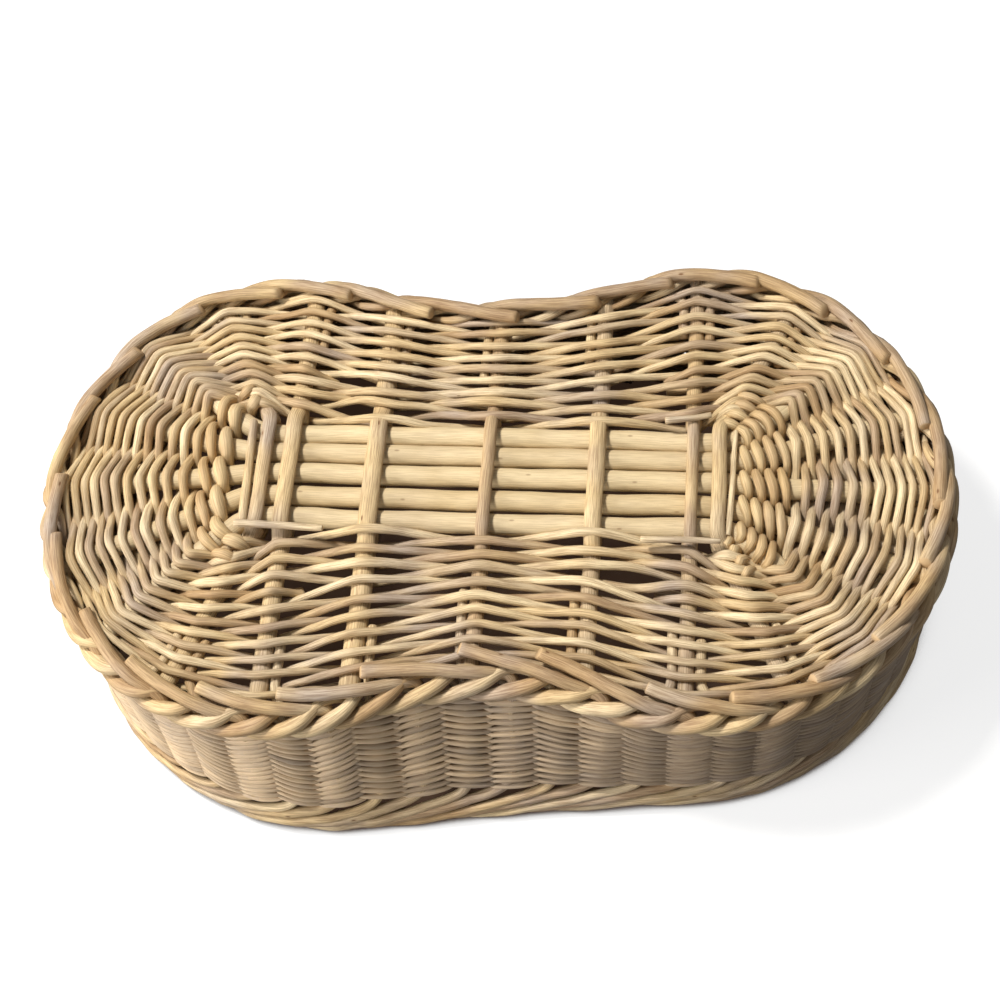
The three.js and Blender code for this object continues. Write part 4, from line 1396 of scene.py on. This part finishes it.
# %% Work the foot wale
WALE_RADIUS = 2.45 * MM
WALE_HEIGHT = 79.0 * MM
WALE_INSET = 7.5 * MM
WALE_DEPTH = 4.2 * MM
WALE_CLIMB = 3.6 * MM
WALE_STAKES = 3
WALE_LEAD = 0.5
WALE_TONES = [0.3, 1.0, 0.7]
WALE_CUTS = [1.5, 58.5, 115.5, 169.5]
WALE_BELLY = 0.36
WALE_FLATNESS = 1.6
WALE_OUTSIDE = 0.35
WALE_SWELL = 0.06
WALE_SWELL_CYCLES = 30
wale_rng = np.random.default_rng(89)


def wale_strand(first, last, rng):
    """Inset and height are waves with a period of three stakes, thick and thin: outside and rising
    over two of them, inside and falling behind the third, by tanh(flatness x (cos + outside)). The
    inset leads a little, so that each stroke also moves inwards as it climbs. First and last count
    the stakes passed."""
    count = int((last - first) / (2 * STAKE_COUNT) * perimeter / RING_SPACING)
    passed = np.linspace(first, last, count)
    phase = 2 * np.pi * passed / WALE_STAKES
    out = np.tanh(WALE_FLATNESS * (np.cos(phase + WALE_LEAD) + WALE_OUTSIDE))
    inset = WALE_INSET - WALE_DEPTH * out
    height = WALE_HEIGHT + WALE_CLIMB * np.sin(phase)
    turn = np.mod(passed / (2 * STAKE_COUNT), 1.0)
    swell = WALE_SWELL * periodic_waves(passed / (2 * STAKE_COUNT), WALE_SWELL_CYCLES, rng)
    girth = WALE_RADIUS * (1 + WALE_BELLY * np.cos(phase) + swell)
    return wall_point(turn, inset, height), outward(turn, height), girth


wale = []
for tone, first, last in zip(WALE_TONES, WALE_CUTS[:-1], WALE_CUTS[1:]):
    path, guide, girth = wale_strand(first, last, wale_rng)
    wale.append(rod(path, girth, guide, tone, sides=BENT_SIDES))
make_piece("foot_wale_rods", wale, straw_willow, ["foot_wale"])
print("pieces:", len(made), "triangles:", sum(made.values()), "largest:", max(made.values()))

# %% [markdown]
# ## Floor, light and camera
# The basket stands on a white floor, painted dark under the basket and a little grey round its
# foot as shade. A lamp high on the far left gives the rods their roundness and their shadows, a
# softer one low on the left lights the wall, and the pale world fills the rest. The camera looks
# down on the base as the photograph does: its direction, turn and distance were fitted to the
# outline and the sticks.

# %% Floor and world
FLOOR_SIZE = 6.0
FLOOR_GREY = (0.3, 0.3, 0.3, 1.0)
# Painted shade: the floor's colour under the basket.
UNDER_PAINTED_SHADE = (0.1, 0.065, 0.045, 1.0)
SHADE_REACH = 0.14
SHADE_FROM = 0.38
SHADE_TO = 0.6
SHADE_SAMPLES = 24
OPEN_GLOW = (0.78, 0.78, 0.78, 1.0)
# Painted shade: the floor's emission under the basket.
UNDER_PAINTED_SHADE_GLOW = (0.02, 0.011, 0.007, 1.0)
WORLD_FILL = 0.25


def white_floor():
    """A pale floor that the camera sees nearly white in the open. Both its emission and its colour
    fade where things stand near: painted shade, dark under the basket and faintly grey round its
    foot. It also takes the soft shadow."""
    material = bpy.data.materials.new("white_floor")
    nodes = fresh_nodes(material)
    seen = nodes.add("ShaderNodeLightPath").outputs["Is Camera Ray"]
    nearness = nodes.add("ShaderNodeAmbientOcclusion", {"Distance": SHADE_REACH}, samples=SHADE_SAMPLES)
    # Painted shade: 0 where the basket stands near, 1 in the open.
    outside_painted_shade = nodes.spread(nearness.outputs["AO"], SHADE_FROM, SHADE_TO)
    glow_with_painted_shade = nodes.mix(outside_painted_shade, UNDER_PAINTED_SHADE_GLOW, OPEN_GLOW)
    emission = nodes.add("ShaderNodeEmission", {"Color": glow_with_painted_shade, "Strength": seen})
    colour = nodes.mix(outside_painted_shade, UNDER_PAINTED_SHADE, FLOOR_GREY)
    plain = nodes.add("ShaderNodeBsdfDiffuse", {"Color": colour})
    both = nodes.add("ShaderNodeAddShader", {0: plain.outputs[0], 1: emission.outputs[0]})
    nodes.add("ShaderNodeOutputMaterial", {"Surface": both.outputs[0]})
    return material


def plain_floor():
    """A flat pale square, level with the rim."""
    mesh = bpy.data.meshes.new("floor")
    half = FLOOR_SIZE / 2
    corners = [(-half, -half, 0), (half, -half, 0), (half, half, 0), (-half, half, 0)]
    mesh.from_pydata(corners, [], [(0, 1, 2, 3)])
    mesh.materials.append(white_floor())
    floor = put_in_scene("floor", mesh)


def pale_world(strength):
    """White as seen by the camera and in reflections, and a softer fill for everything else."""
    world = bpy.data.worlds.new("studio")
    bpy.context.scene.world = world
    nodes = fresh_nodes(world)
    light_path = nodes.add("ShaderNodeLightPath").outputs
    seen = nodes.math("MAXIMUM", light_path["Is Camera Ray"], light_path["Is Transmission Ray"])
    level = nodes.math("MULTIPLY_ADD", seen, 1.0 - strength, strength)
    background = nodes.add("ShaderNodeBackground", {"Color": (1.0, 1.0, 1.0, 1.0), "Strength": level})
    nodes.add("ShaderNodeOutputWorld", {"Surface": background.outputs[0]})


plain_floor()
pale_world(WORLD_FILL)

# %% Lamps
LAMPS = {
    "key_lamp": {"place": (-0.75, 0.35, 1.7), "size": 0.28, "power": 41.0, "colour": (1.0, 0.97, 0.92)},
    "side_lamp": {"place": (-1.1, -0.52, 0.42), "size": 0.6, "power": 15.0, "colour": (1.0, 0.97, 0.93)},
}


def stand(name, data, place, back, right):
    """Puts a lamp or camera in its place, looking along the direction opposite to back."""
    above = np.cross(back, right)
    holder = put_in_scene(name, data)
    holder.matrix_world = Matrix(np.block([
        [np.column_stack([right, above, back]), place[:, None]],
        [np.zeros((1, 3)), np.ones((1, 1))],
    ]).tolist())
    return holder


for name, facts in LAMPS.items():
    lamp = bpy.data.lights.new(name, "AREA")
    lamp.size = facts["size"]
    lamp.energy = facts["power"]
    lamp.color = facts["colour"]
    place = np.array(facts["place"])
    back = unit(place - HEIGHT / 2 * UP)
    stand(name, lamp, place, back, unit(np.cross(UP, back)))

# %% Camera
CAMERA_ELEVATION = math.radians(63.507)
CAMERA_YAW = math.radians(16.520)
CAMERA_ROLL = math.radians(-13.352)
CAMERA_DISTANCE = 782.6 * MM
CAMERA_TARGET = np.array([shift[0] - 6.31 * MM, shift[1] + 33.70 * MM, 0.0])
CAMERA_LENS = 57.83
CAMERA_SENSOR = 36
CAMERA_CLIP = (0.01, 20)


def place_camera():
    """The camera stands off its target along a direction given by yaw and elevation, and rolls
    about that direction."""
    yaw, elevation, roll = CAMERA_YAW, CAMERA_ELEVATION, CAMERA_ROLL
    back = np.array([
        math.sin(yaw) * math.cos(elevation),
        -math.cos(yaw) * math.cos(elevation),
        math.sin(elevation),
    ])
    level = np.array([math.cos(yaw), math.sin(yaw), 0.0])
    right = math.cos(roll) * level + math.sin(roll) * np.cross(back, level)
    camera = bpy.data.cameras.new("camera")
    camera.lens = CAMERA_LENS
    camera.sensor_width = CAMERA_SENSOR
    camera.clip_start, camera.clip_end = CAMERA_CLIP
    place = CAMERA_TARGET + back * CAMERA_DISTANCE
    bpy.context.scene.camera = stand("camera", camera, place, back, right)


place_camera()
bpy.context.scene.view_settings.view_transform = "Standard"
